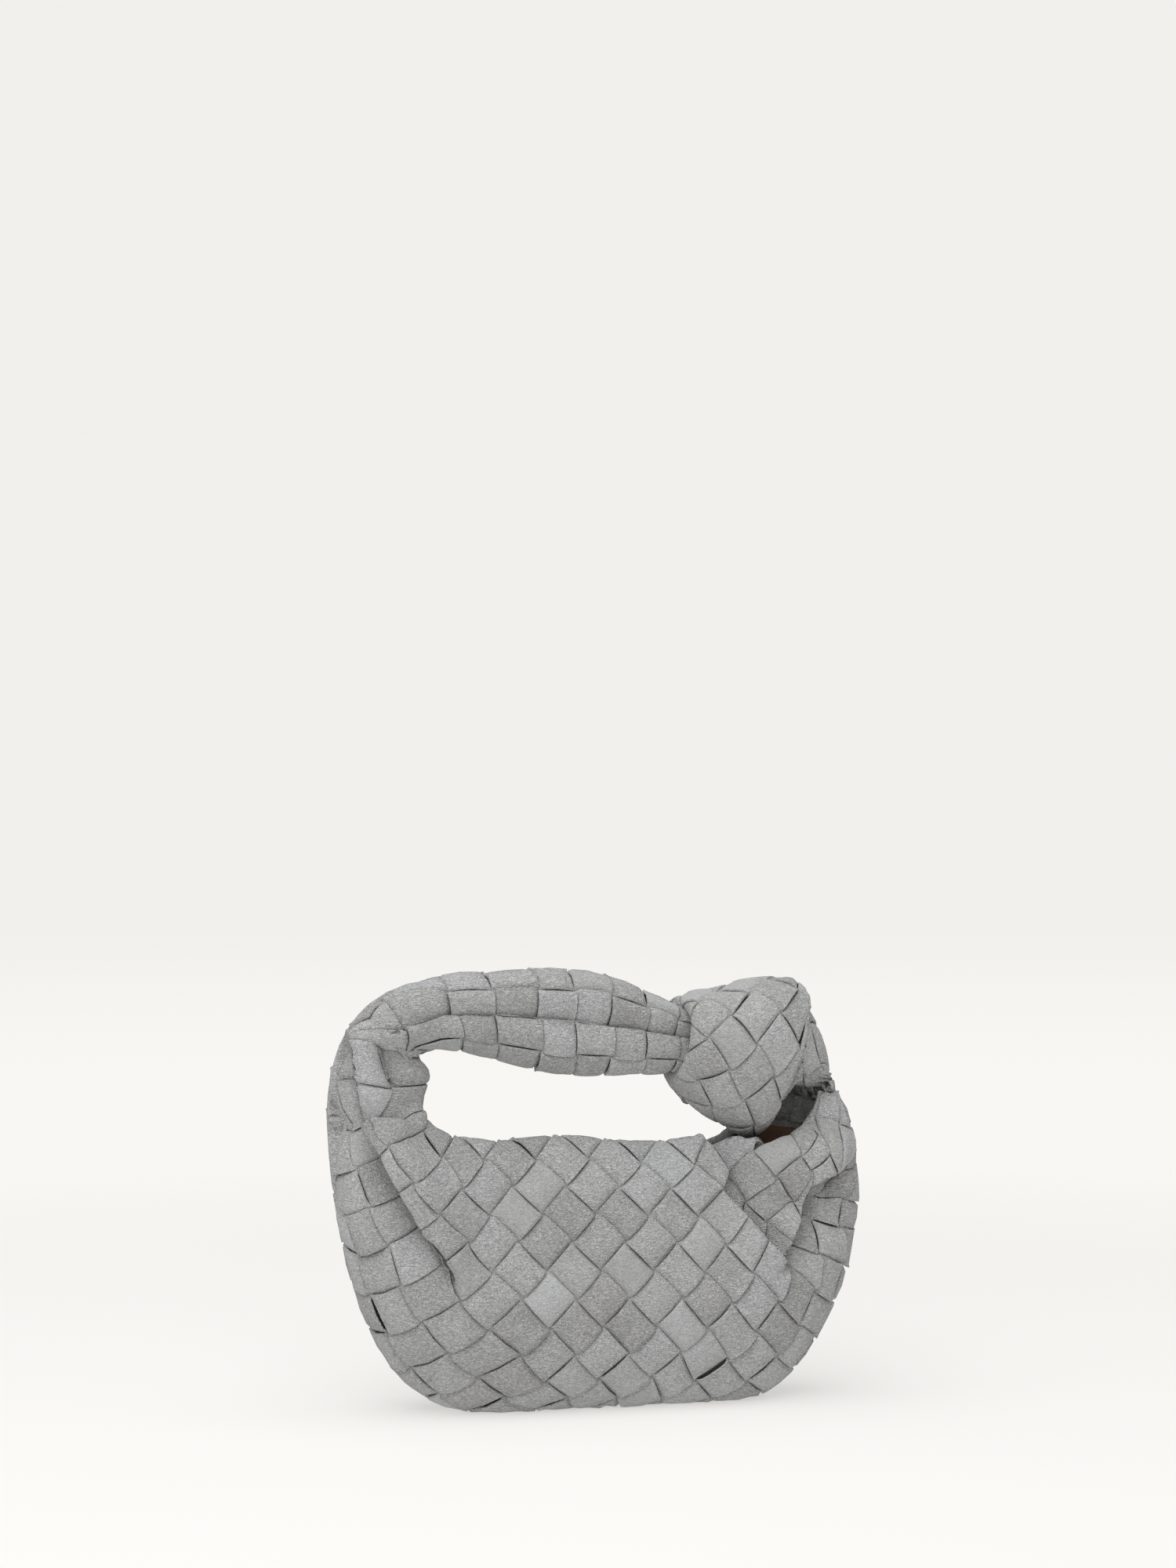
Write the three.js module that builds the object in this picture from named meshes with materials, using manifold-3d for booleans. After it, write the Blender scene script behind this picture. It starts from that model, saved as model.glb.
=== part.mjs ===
// Knotted hobo bag of woven suede strips: a half-moon pouch with an open mouth, whose left neck
// arches over as a folded handle and ends in a knot above the right neck.
// Millimetres, +Z up, the front of the bag looks towards -Y, and the bag stands on Z = 0.

import * as THREE from 'three';
import Module from 'manifold-3d';

// Driving dimensions
const LENGTH = 200;
const HEIGHT = 158.5;
const DEPTH = 61;

// Leather thicknesses and the gaps between pieces
const WALL = 2.2;
const LINING_WALL = 1.0;
const LINING_GAP = 1.2;
const PIECE_GAP = 0.3;
const SOCKET_GAP = 0.4;

// The tables below are drawn for a bag of these sizes and stretch with the driving dimensions
const TABLE = { length: 200, height: 158.5, depth: 61 };
const SCALE_X = LENGTH / TABLE.length;
const SCALE_Y = DEPTH / TABLE.depth;
const SCALE_Z = HEIGHT / TABLE.height;

// Ribs round the bag, from the right neck down over the right end, along the bottom, up the left
// end and neck, and over the handle into the knot. A rib runs from the two lips, which look into
// the handle's window, out to the keel. front and back are the rib's greatest depths, belly is
// the share of the rib from lip to keel where they lie, and curl rounds the leather towards the
// lip: 1 is a straight slope and 2 a round tube.
const RIB_COLUMNS = [
  'keelX', 'keelZ',
  'frontLipX', 'frontLipZ', 'frontLipY',
  'backLipX', 'backLipZ', 'backLipY',
  'front', 'back', 'belly', 'curl',
];
const RIBS = [
  // right neck, open towards the mouth, with its top inside the knot
  [84, 127, 79, 123, 6, 73, 124, 13, 9, 14, 0.55, 1.7],
  [89, 116.5, 85, 114, 8, 73.5, 115.5, 18, 12, 19.5, 0.55, 1.6],
  [95.5, 105, 80.5, 103.5, 12.5, 68, 105.5, 19, 16.5, 21, 0.55, 1.5],
  [100, 90, 72, 96.5, 17, 60, 98, 18, 22, 22.5, 0.5, 1.4],
  // right end
  [101, 74, 63, 94.5, 19, 54, 94, 15, 25, 24, 0.5, 1.35],
  [98.5, 56, 55, 96, 17, 47, 92.5, 12, 27, 25, 0.5, 1.3],
  [93.5, 38, 48, 97.5, 14, 40, 91.5, 10, 28, 26, 0.52, 1.3],
  [85.5, 22, 39, 96.5, 11, 32, 91, 9, 29, 27, 0.55, 1.3],
  // bottom
  [73, 6.5, 29, 95.5, 10, 23, 90.5, 8, 30, 28, 0.58, 1.3],
  [57, -2, 19, 94.8, 9, 14, 90.5, 8, 31, 29, 0.6, 1.3],
  [36, -3.5, 9, 95.2, 9, 6, 90.5, 8, 31.5, 29.5, 0.6, 1.3],
  [12, -3, -1, 96.5, 9, -2, 91, 8, 31.5, 29.5, 0.6, 1.3],
  [-12, -3, -10, 97.5, 9, -10, 91.5, 8, 31.5, 29.5, 0.6, 1.3],
  [-34, -3, -19, 97.8, 9, -19, 92, 8, 31, 29, 0.6, 1.3],
  [-53, 0.5, -28, 97.2, 9, -28, 92.5, 8, 30.5, 28, 0.58, 1.3],
  // left end
  [-69, 9, -37, 96.8, 9, -37, 93.5, 8, 29.5, 27, 0.56, 1.3],
  [-80.5, 24, -45.5, 97.5, 9, -45.5, 95, 7, 28, 26, 0.54, 1.35],
  [-89, 44, -53, 99, 8, -53, 97.5, 6, 26, 24, 0.52, 1.4],
  [-94.5, 66, -59.5, 101, 7, -59.5, 100.5, 5, 24, 22, 0.5, 1.5],
  // left neck, folded shut
  [-97.5, 87, -63.5, 104, 5, -63.5, 104, 4, 21, 20, 0.5, 1.6],
  [-99, 105, -64.5, 109.5, 3, -64.5, 109.5, 3, 18, 17, 0.5, 1.8],
  [-98, 119, -64, 116, 1.5, -64, 116, 1.5, 16, 15, 0.5, 1.9],
  [-94, 133, -63.5, 122, 1, -63.5, 122, 1, 15, 14, 0.5, 2],
  // handle
  [-86, 144.5, -66, 128.5, 0.8, -66, 128.5, 0.8, 14, 13, 0.5, 2],
  [-74.5, 152, -60, 131, 0.8, -60, 131, 0.8, 13, 12, 0.5, 2],
  [-57, 156.5, -49, 129.5, 0.8, -49, 129.5, 0.8, 13, 12, 0.5, 2],
  [-38, 157.5, -36, 126, 0.8, -36, 126, 0.8, 13, 12, 0.5, 2],
  [-17, 158.5, -16, 121, 0.8, -16, 121, 0.8, 13, 12, 0.5, 2],
  [3, 156, 2, 119.8, 0.8, 2, 119.8, 0.8, 12.5, 12, 0.5, 2],
  [20, 149.5, 18, 120, 0.8, 18, 120, 0.8, 11.5, 11, 0.5, 2],
  // end of the strap inside the knot
  [33, 144, 31, 120.5, 0.8, 31, 120.5, 0.8, 10.5, 10.5, 0.5, 2],
  [41, 141, 39, 121, 0.8, 39, 121, 0.8, 10, 10, 0.5, 2],
];

// Rib numbers where the pieces end
const NECK_TOP = 0;
const NECK_PLUG_END = 3;
const NECK_CLEARANCE = 0.05;
const HANDLE_START = 21;
const HANDLE_END = RIBS.length - 1;
const STRAP_PLUG_START = HANDLE_END - 1.6;

// Roundness of the ribs at the keel, and the share of the section's steps between lip and belly
const KEEL_ROUNDNESS = 2.15;
const LIP_STEP_SHARE = 0.45;

// Folds seen on the front (-1) and the back (1): a line of three points, its half width, and its
// height, where a crest is positive and a valley negative
const FOLD_COLUMNS = ['side', 'x0', 'z0', 'x1', 'z1', 'x2', 'z2', 'width', 'height'];
const FOLDS = [
  // crest of the left pleat and the valley beside it
  [-1, -88, 112, -82, 96, -58, 66, 5, 3],
  [-1, -94, 104, -88, 86, -74, 66, 6, -4],
  // lip that overhangs at the right end, and the deep valley under it
  [-1, 60, 87, 74, 89, 84, 91, 7, 4],
  [-1, 66, 75, 86, 68, 92, 84, 5.5, -5],
  // furrow between the two rolls of the handle
  [-1, -60, 143, -30, 142, 38, 133, 5, -4.5],
  [1, -60, 145, -20, 140, 38, 130, 5, -4],
  // pinch inside the bend of the left neck
  [-1, -84, 128, -78, 120, -70, 112, 5, -4],
  // soft slack on the back
  [1, -88, 100, -80, 84, -62, 66, 7, -3],
  [1, 64, 84, 78, 74, 90, 76, 7, -3.5],
];

// The knot: closed loops from the side where the strap enters to the layer on the right, each
// with its upper and lower end and its depths
const KNOT_COLUMNS = ['topX', 'topZ', 'lowX', 'lowZ', 'front', 'back'];
const KNOT = [
  [36, 142, 33, 121, 11, 11],
  [33.5, 145, 30, 117, 18, 17],
  [36, 147.5, 33, 112, 23, 21],
  [45, 149, 41, 105.5, 27, 24],
  [55, 151.5, 50, 100, 28.5, 25.5],
  [66, 153.5, 58, 96, 27.5, 23],
  [75, 153, 64.5, 97, 25.5, 20],
  [79.5, 150.5, 71, 105, 24, 18],
  [81.5, 146.5, 75, 114, 21, 17],
  [83, 144, 79.5, 116, 17, 17],
  [87, 137, 85.5, 115.5, 16, 16.5],
  [90, 128, 89.5, 116, 12.5, 13.5],
  [91, 123, 91, 118.5, 5, 6],
];
const KNOT_MIDDLE = 0.55;
const KNOT_UPPER_ROUNDNESS = 2.5;
const KNOT_LOWER_ROUNDNESS = 1.75;

// Steps along the bag and round each section
const POUCH_STEPS = [54, 22];
const LINING_STEPS = [36, 16];
const HANDLE_STEPS = [28, 18];
const KNOT_STEPS = [26, 30];
const STRAP_PLUG_STEPS = [6, 18];
const NECK_PLUG_STEPS = [9, 22];

// The lining stops short of the lips and of the two necks' ends, and slackens every valley
const LINING_LIP = 0.93;
const LINING_FROM = 1.6;
const LINING_TO = 20;
const LINING_SLACK = 2;

const SUEDE = new THREE.MeshStandardMaterial({ color: 0x979896, roughness: 0.95, metalness: 0 });
const LINING_LEATHER = new THREE.MeshStandardMaterial({ color: 0x6b4a36, roughness: 0.8, metalness: 0 });

const wasm = await Module();
wasm.setup();

// Turns table rows into objects with named values
function named(columns, rows) {
  return rows.map((row) => Object.fromEntries(columns.map((column, i) => [column, row[i]])));
}

const ribs = named(RIB_COLUMNS, RIBS);
const folds = named(FOLD_COLUMNS, FOLDS);
const knotLoops = named(KNOT_COLUMNS, KNOT);

// A row between the rows of a table, on a smooth curve through them
function rowAt(rows, place) {
  const last = rows.length - 1;
  const i = Math.min(Math.max(Math.floor(place), 0), last - 1);
  const t = place - i;
  const before = rows[Math.max(i - 1, 0)];
  const from = rows[i];
  const to = rows[i + 1];
  const after = rows[Math.min(i + 2, last)];
  const row = {};
  for (const key of Object.keys(from)) {
    const bend = 2 * before[key] - 5 * from[key] + 4 * to[key] - after[key];
    const twist = 3 * from[key] - before[key] - 3 * to[key] + after[key];
    row[key] = 0.5 * (2 * from[key] + (to[key] - before[key]) * t + bend * t * t + twist * t ** 3);
  }
  return row;
}

// A point of the unfolded bag: place is the rib, and across runs from -1 at the front lip over
// 0 at the keel to 1 at the back lip
function smoothPoint(place, across) {
  const rib = rowAt(ribs, place);
  const front = across < 0;
  const lipX = front ? rib.frontLipX : rib.backLipX;
  const lipZ = front ? rib.frontLipZ : rib.backLipZ;
  const lipY = front ? rib.frontLipY : rib.backLipY;
  const depth = front ? rib.front : rib.back;
  const fromLip = 1 - Math.abs(across);
  let along;
  let y;
  if (fromLip < LIP_STEP_SHARE) {
    const rest = Math.cos((fromLip / LIP_STEP_SHARE) * Math.PI / 2);
    along = rib.belly * (1 - rest);
    y = lipY + (depth - lipY) * (1 - rest ** rib.curl) ** (1 / rib.curl);
  } else {
    const out = Math.sin(((fromLip - LIP_STEP_SHARE) / (1 - LIP_STEP_SHARE)) * Math.PI / 2);
    along = rib.belly + (1 - rib.belly) * out;
    y = depth * (1 - out ** KEEL_ROUNDNESS) ** (1 / KEEL_ROUNDNESS);
  }
  const x = lipX + (rib.keelX - lipX) * along;
  const z = lipZ + (rib.keelZ - lipZ) * along;
  return new THREE.Vector3(x, front ? -y : y, z);
}

// The outward normal of the unfolded bag
function smoothNormal(place, across) {
  const step = 0.02;
  const edge = 1 - 2 * step;
  const centre = Math.min(Math.max(across, -edge), edge);
  const alongBag = smoothPoint(place + step, centre).sub(smoothPoint(place - step, centre));
  const overSection = smoothPoint(place, centre + step).sub(smoothPoint(place, centre - step));
  return alongBag.cross(overSection).normalize();
}

// Distance in the front view from a point to a fold's line of three points
function distanceToFold(fold, x, z) {
  const point = new THREE.Vector3(x, 0, z);
  const nearest = new THREE.Vector3();
  const corners = [[fold.x0, fold.z0], [fold.x1, fold.z1], [fold.x2, fold.z2]];
  const [start, middle, end] = corners.map(([cx, cz]) => new THREE.Vector3(cx, 0, cz));
  const distances = [[start, middle], [middle, end]].map(([a, b]) => {
    new THREE.Line3(a, b).closestPointToPoint(point, true, nearest);
    return nearest.distanceTo(point);
  });
  return Math.min(...distances);
}

// Height of all folds at a point of one side. Slack leather has wider valleys and narrower crests
function foldHeight(point, across, slack) {
  let height = 0;
  for (const fold of folds) {
    if (fold.side * across > 0) {
      const width = fold.height < 0 ? fold.width * slack : fold.width / slack;
      const share = distanceToFold(fold, point.x, point.z) / width;
      height += fold.height * Math.exp(-share * share);
    }
  }
  return height;
}

// A point of the finished surface, sunk by an inset below it, and flat where the bag rests
function bagPoint(place, across, inset, slack = 1) {
  const point = smoothPoint(place, across);
  const normal = smoothNormal(place, across);
  point.addScaledVector(normal, foldHeight(point, across, slack) - inset);
  point.z = Math.max(point.z, inset);
  return new THREE.Vector3(point.x * SCALE_X, point.y * SCALE_Y, point.z * SCALE_Z);
}

// Triangles between rings of equal length, each closing on itself
function sideTriangles(ringCount, ringSize) {
  const triangles = [];
  for (let i = 0; i < ringCount - 1; i += 1) {
    for (let k = 0; k < ringSize; k += 1) {
      const next = (k + 1) % ringSize;
      const a = i * ringSize + k;
      const b = i * ringSize + next;
      const c = (i + 1) * ringSize + next;
      const d = (i + 1) * ringSize + k;
      triangles.push(a, b, c, a, c, d);
    }
  }
  return triangles;
}

// A geometry from points and triangles, turned so that its faces point out
function closedGeometry(points, triangles) {
  const corner = (i) => points[triangles[i]];
  let volume = 0;
  for (let i = 0; i < triangles.length; i += 3) {
    volume += corner(i).dot(corner(i + 1).clone().cross(corner(i + 2)));
  }
  if (volume < 0) {
    triangles.reverse();
  }
  const geometry = new THREE.BufferGeometry().setFromPoints(points);
  geometry.setIndex(triangles);
  geometry.computeVertexNormals();
  return geometry;
}

// A leather wall from one rib to another: its outer face lies an inset below the bag's surface
function leatherShell({ from, to, steps, lip, inset, wall, slack }) {
  const [ringSteps, sectionSteps] = steps;
  const ringSize = 2 * (sectionSteps + 1);
  const points = [];
  for (let i = 0; i <= ringSteps; i += 1) {
    const place = from + ((to - from) * i) / ringSteps;
    for (let k = 0; k < ringSize; k += 1) {
      const outside = k <= sectionSteps;
      const step = outside ? k : ringSize - 1 - k;
      const across = lip * ((2 * step) / sectionSteps - 1);
      points.push(bagPoint(place, across, outside ? inset : inset + wall, slack));
    }
  }
  const triangles = sideTriangles(ringSteps + 1, ringSize);
  const lastRing = ringSteps * ringSize;
  for (let k = 0; k < sectionSteps; k += 1) {
    const a = k;
    const b = k + 1;
    const c = ringSize - 2 - k;
    const d = ringSize - 1 - k;
    triangles.push(a, c, b, a, d, c);
    triangles.push(lastRing + a, lastRing + b, lastRing + c, lastRing + a, lastRing + c, lastRing + d);
  }
  return closedGeometry(points, triangles);
}

// A filled body from rings of points, with a fan over each end
function ringBody(rings) {
  const ringSize = rings[0].length;
  const points = rings.flat();
  const triangles = sideTriangles(rings.length, ringSize);
  const centreOf = (ring) => ring.reduce((sum, p) => sum.add(p), new THREE.Vector3()).divideScalar(ringSize);
  const firstCentre = points.push(centreOf(rings[0])) - 1;
  const lastCentre = points.push(centreOf(rings[rings.length - 1])) - 1;
  const lastRing = (rings.length - 1) * ringSize;
  for (let k = 0; k < ringSize; k += 1) {
    const next = (k + 1) % ringSize;
    triangles.push(firstCentre, next, k);
    triangles.push(lastCentre, lastRing + k, lastRing + next);
  }
  return closedGeometry(points, triangles);
}

// One closed loop of the knot
function knotRing(loop, size) {
  const top = new THREE.Vector3(loop.topX * SCALE_X, 0, loop.topZ * SCALE_Z);
  const low = new THREE.Vector3(loop.lowX * SCALE_X, 0, loop.lowZ * SCALE_Z);
  const middle = low.clone().lerp(top, KNOT_MIDDLE);
  const ring = [];
  for (let k = 0; k < size; k += 1) {
    const angle = (k / size) * 2 * Math.PI;
    const up = Math.cos(angle);
    const sideways = Math.sin(angle);
    const roundness = up > 0 ? KNOT_UPPER_ROUNDNESS : KNOT_LOWER_ROUNDNESS;
    const reach = Math.abs(up) ** (2 / roundness);
    const depth = (sideways < 0 ? loop.front : loop.back) * SCALE_Y;
    const point = middle.clone().lerp(up > 0 ? top : low, reach);
    point.y = Math.sign(sideways) * depth * Math.abs(sideways) ** (2 / roundness);
    ring.push(point);
  }
  return ring;
}

// The knot before the strap's end is let into it
function knotBody() {
  const [ringSteps, loopSteps] = KNOT_STEPS;
  const rings = [];
  for (let i = 0; i <= ringSteps; i += 1) {
    rings.push(knotRing(rowAt(knotLoops, ((knotLoops.length - 1) * i) / ringSteps), loopSteps));
  }
  return ringBody(rings);
}

// The room that a stretch of the bag takes up in the knot, its hollow and its slit filled
function plugBody(from, to, steps) {
  const [ringSteps, sectionSteps] = steps;
  const rings = [];
  for (let i = 0; i <= ringSteps; i += 1) {
    const place = from + ((to - from) * i) / ringSteps;
    const ring = [];
    for (let k = 0; k <= sectionSteps; k += 1) {
      ring.push(bagPoint(place, (2 * k) / sectionSteps - 1, -SOCKET_GAP));
    }
    rings.push(ring);
  }
  return ringBody(rings);
}

function toManifold(geometry) {
  const vertProperties = new Float32Array(geometry.getAttribute('position').array);
  const triVerts = new Uint32Array(geometry.getIndex().array);
  return new wasm.Manifold(new wasm.Mesh({ numProp: 3, vertProperties, triVerts }));
}

function fromManifold(solid) {
  const { vertProperties, triVerts } = solid.getMesh();
  const geometry = new THREE.BufferGeometry();
  geometry.setAttribute('position', new THREE.BufferAttribute(vertProperties, 3));
  geometry.setIndex(new THREE.BufferAttribute(triVerts, 1));
  geometry.computeVertexNormals();
  return geometry;
}

function pouchGeometry() {
  return leatherShell({
    from: NECK_TOP, to: HANDLE_START, steps: POUCH_STEPS, lip: 1, inset: 0, wall: WALL,
  });
}

function liningGeometry() {
  return leatherShell({
    from: LINING_FROM,
    to: LINING_TO,
    steps: LINING_STEPS,
    lip: LINING_LIP,
    inset: WALL + LINING_GAP,
    wall: LINING_WALL,
    slack: LINING_SLACK,
  });
}

// The handle starts a gap above the neck and ends a gap short of its socket in the knot
function handleGeometry() {
  const ribSpacing = smoothPoint(HANDLE_START, 0).distanceTo(smoothPoint(HANDLE_START + 1, 0));
  const lipSpacing = smoothPoint(HANDLE_START, 1).distanceTo(smoothPoint(HANDLE_START + 1, 1));
  const startGap = PIECE_GAP / Math.min(ribSpacing, lipSpacing);
  const endGap = PIECE_GAP / smoothPoint(HANDLE_END, 0).distanceTo(smoothPoint(HANDLE_END - 1, 0));
  return leatherShell({
    from: HANDLE_START + startGap,
    to: HANDLE_END - endGap,
    steps: HANDLE_STEPS,
    lip: 1,
    inset: 0,
    wall: WALL,
  });
}

// The strap's end and the top of the right neck are let into the knot
function knotGeometry() {
  const strapPlug = toManifold(plugBody(STRAP_PLUG_START, HANDLE_END, STRAP_PLUG_STEPS));
  const neckPlug = toManifold(plugBody(NECK_TOP - NECK_CLEARANCE, NECK_PLUG_END, NECK_PLUG_STEPS));
  return fromManifold(toManifold(knotBody()).subtract(strapPlug).subtract(neckPlug));
}

// Each piece as a named mesh, with the bag's box centred over the origin
const bag = new THREE.Group();
const pieces = [
  ['pouch', pouchGeometry(), SUEDE],
  ['lining', liningGeometry(), LINING_LEATHER],
  ['handle', handleGeometry(), SUEDE],
  ['knot', knotGeometry(), SUEDE],
];
for (const [name, geometry, material] of pieces) {
  const mesh = new THREE.Mesh(geometry, material);
  mesh.name = name;
  bag.add(mesh);
}
const box = new THREE.Box3().setFromObject(bag);
const centre = box.getCenter(new THREE.Vector3());
bag.position.set(-centre.x, -centre.y, -box.min.z);

export default bag;
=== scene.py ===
"""Visual model of a knotted hobo bag woven from grey suede strips.

The pouch, its handle and its knot are built as single strips that pass over and under each other.
A lattice of strip crossings is relaxed over the bag's surface, and Geometry Nodes lay one soft pad
of suede on every crossing.
"""

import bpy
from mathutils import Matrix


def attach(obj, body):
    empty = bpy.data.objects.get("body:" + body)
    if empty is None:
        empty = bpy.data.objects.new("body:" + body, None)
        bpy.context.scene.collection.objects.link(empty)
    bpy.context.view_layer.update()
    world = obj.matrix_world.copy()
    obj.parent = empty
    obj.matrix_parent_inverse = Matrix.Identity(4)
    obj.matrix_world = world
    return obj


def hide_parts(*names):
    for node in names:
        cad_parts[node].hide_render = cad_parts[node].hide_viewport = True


bl_info = {
    "name": "Knotted hobo bag",
    "version": (1, 0, 0),
    "blender": (4, 5, 0),
    "location": "View3D > Sidebar > Hobo bag",
    "description": "Builds the woven pouch, handle, knot and lining around the packed part",
    "category": "Object",
}

import math

import bpy
import numpy as np
from mathutils import Matrix, Vector

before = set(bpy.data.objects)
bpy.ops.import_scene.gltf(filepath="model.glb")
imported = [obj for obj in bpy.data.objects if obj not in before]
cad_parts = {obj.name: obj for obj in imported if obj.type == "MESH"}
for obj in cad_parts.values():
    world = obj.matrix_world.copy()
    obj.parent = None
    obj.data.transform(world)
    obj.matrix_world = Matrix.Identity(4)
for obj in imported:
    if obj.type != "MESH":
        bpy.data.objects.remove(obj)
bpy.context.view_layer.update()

MM = 0.001

# The tables are in millimetres from the middle of the pouch, and the frame is centred on its box
FRAME_SHIFT = np.array([-1.029, 1.0, 0.0])

# Ribs round the bag, as in the part's source: from the right neck over the right end, the bottom
# and the left end, up the left neck and over the handle into the knot. Columns: keel x and z,
# front lip x, z and y, back lip x, z and y, front depth, back depth, belly and curl.
(KEEL_X, KEEL_Z, FRONT_X, FRONT_Z, FRONT_Y, BACK_X, BACK_Z, BACK_Y,
 FRONT, BACK, BELLY, CURL) = range(12)
RIBS = np.array([
    # right neck
    (84, 127, 79, 123, 6, 73, 124, 13, 9, 14, 0.55, 1.7),
    (89, 116.5, 85, 114, 8, 73.5, 115.5, 18, 12, 19.5, 0.55, 1.6),
    (95.5, 105, 80.5, 103.5, 12.5, 68, 105.5, 19, 16.5, 21, 0.55, 1.5),
    (100, 90, 72, 96.5, 17, 60, 98, 18, 22, 22.5, 0.5, 1.4),
    # right end
    (101, 74, 63, 94.5, 19, 54, 94, 15, 25, 24, 0.5, 1.35),
    (98.5, 56, 55, 96, 17, 47, 92.5, 12, 27, 25, 0.5, 1.3),
    (93.5, 38, 48, 97.5, 14, 40, 91.5, 10, 28, 26, 0.52, 1.3),
    (85.5, 22, 39, 96.5, 11, 32, 91, 9, 29, 27, 0.55, 1.3),
    # bottom
    (73, 6.5, 29, 95.5, 10, 23, 90.5, 8, 30, 28, 0.58, 1.3),
    (57, -2, 19, 94.8, 9, 14, 90.5, 8, 31, 29, 0.6, 1.3),
    (36, -3.5, 9, 95.2, 9, 6, 90.5, 8, 31.5, 29.5, 0.6, 1.3),
    (12, -3, -1, 96.5, 9, -2, 91, 8, 31.5, 29.5, 0.6, 1.3),
    (-12, -3, -10, 97.5, 9, -10, 91.5, 8, 31.5, 29.5, 0.6, 1.3),
    (-34, -3, -19, 97.8, 9, -19, 92, 8, 31, 29, 0.6, 1.3),
    (-53, 0.5, -28, 97.2, 9, -28, 92.5, 8, 30.5, 28, 0.58, 1.3),
    # left end
    (-69, 9, -37, 96.8, 9, -37, 93.5, 8, 29.5, 27, 0.56, 1.3),
    (-80.5, 24, -45.5, 97.5, 9, -45.5, 95, 7, 28, 26, 0.54, 1.35),
    (-89, 44, -53, 99, 8, -53, 97.5, 6, 26, 24, 0.52, 1.4),
    (-94.5, 66, -59.5, 101, 7, -59.5, 100.5, 5, 24, 22, 0.5, 1.5),
    # left neck
    (-97.5, 87, -63.5, 104, 5, -63.5, 104, 4, 21, 20, 0.5, 1.6),
    (-99, 105, -64.5, 109.5, 3, -64.5, 109.5, 3, 18, 17, 0.5, 1.8),
    (-98, 119, -64, 116, 1.5, -64, 116, 1.5, 16, 15, 0.5, 1.9),
    (-94, 133, -63.5, 122, 1, -63.5, 122, 1, 15, 14, 0.5, 2),
    # handle
    (-86, 144.5, -66, 128.5, 0.8, -66, 128.5, 0.8, 14, 13, 0.5, 2),
    (-74.5, 152, -60, 131, 0.8, -60, 131, 0.8, 13, 12, 0.5, 2),
    (-57, 156.5, -49, 129.5, 0.8, -49, 129.5, 0.8, 13, 12, 0.5, 2),
    (-38, 157.5, -36, 126, 0.8, -36, 126, 0.8, 13, 12, 0.5, 2),
    (-17, 158.5, -16, 121, 0.8, -16, 121, 0.8, 13, 12, 0.5, 2),
    (3, 156, 2, 119.8, 0.8, 2, 119.8, 0.8, 12.5, 12, 0.5, 2),
    (20, 149.5, 18, 120, 0.8, 18, 120, 0.8, 11.5, 11, 0.5, 2),
    # end of the strap inside the knot
    (33, 144, 31, 120.5, 0.8, 31, 120.5, 0.8, 10.5, 10.5, 0.5, 2),
    (41, 141, 39, 121, 0.8, 39, 121, 0.8, 10, 10, 0.5, 2),
])
RIB_COUNT = len(RIBS)
# Where the pouch begins and the handle follows it, and the shape of a section: the share of it
# that belongs to the lip, and how round it is at the keel
NECK_TOP = 1.05
HANDLE_START = 21
LIP_STEP_SHARE = 0.45
KEEL_ROUNDNESS = 2.15

# Guards against a division by nothing, and against a step past the last cell of a grid
TINY, TINIEST = 1e-6, 1e-9
LAST_CELL = 1.001

# Folds on the front (-1) and the back (1): a line of three points as x, z, its half width and its
# height. Crests are positive and valleys negative.
FOLDS = [
    (-1, (-88, 112), (-82, 96), (-58, 66), 5, 3),
    (-1, (-94, 104), (-88, 86), (-74, 66), 6, -4),
    (-1, (60, 87), (74, 89), (84, 91), 7, 4),
    (-1, (66, 75), (86, 68), (92, 84), 5.5, -5),
    (-1, (-60, 143), (-30, 142), (38, 133), 5, -4.5),
    (1, (-60, 145), (-20, 140), (38, 130), 5, -4),
    (-1, (-84, 128), (-78, 120), (-70, 112), 5, -4),
    (-1, (-78, 121.5), (-84, 132), (-85.5, 142), 3, -3),
    (1, (-88, 100), (-80, 84), (-62, 66), 7, -3),
    (1, (64, 84), (78, 74), (90, 76), 7, -3.5),
]

# Pleats on the front, where one part of the weave lies over another: a line of points as x, z with
# the upper part on its left, the upper part's height and width, the lower part's depth and width,
# and how far the lower part is tucked under the upper one
PLEATS = [
    # top and left edge of the front, over the left neck and the left end
    ([(-70, 103.5), (-75, 106), (-88, 108), (-91, 105), (-85, 95), (-79, 81), (-72, 69),
      (-65, 57), (-59, 46)], 3.0, 9, 4.4, 9, 3.5),
    # outer fold of the left neck
    ([(-92, 143), (-93, 134), (-93, 121), (-92, 113), (-90, 104)], 1.2, 7, 2.2, 6, 1.5),
    # crease at the inner bend of the handle
    ([(-86, 138), (-83.4, 132.7), (-78.8, 127.3), (-73.5, 128.2),
      (-64, 132)], -5.5, 4.5, 5.5, 5.5, 0),
    # right edge of the front, over the hollow beside it
    ([(66, 51), (58, 60), (51, 69), (43, 78), (46, 84), (44, 90), (40, 95),
      (37, 100)], 2.2, 8, 5.6, 8, 1.3),
    # lower edge of the right neck, over the right end
    ([(62, 47), (67, 59), (70, 67), (74, 79), (84, 83), (93, 87)], 3, 7, 7.5, 9, 2.5),
    # upper edge of the handle's lower fold
    ([(38, 131.5), (20.2, 134.9), (4.1, 137.5), (-6.9, 140.4), (-24.9, 142), (-37.2, 144),
      (-46.7, 141.9), (-59, 142.8), (-68, 141.5), (-77, 139), (-87, 136)], 1.7, 6, 2.2, 7, 2),
]
# Half width of a pleat's step, how far the upper part leans over it, and how soon its ends fade
PLEAT_EDGE = 0.7
PLEAT_OVERHANG = 0.25
PLEAT_FADE = 10.0

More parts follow.
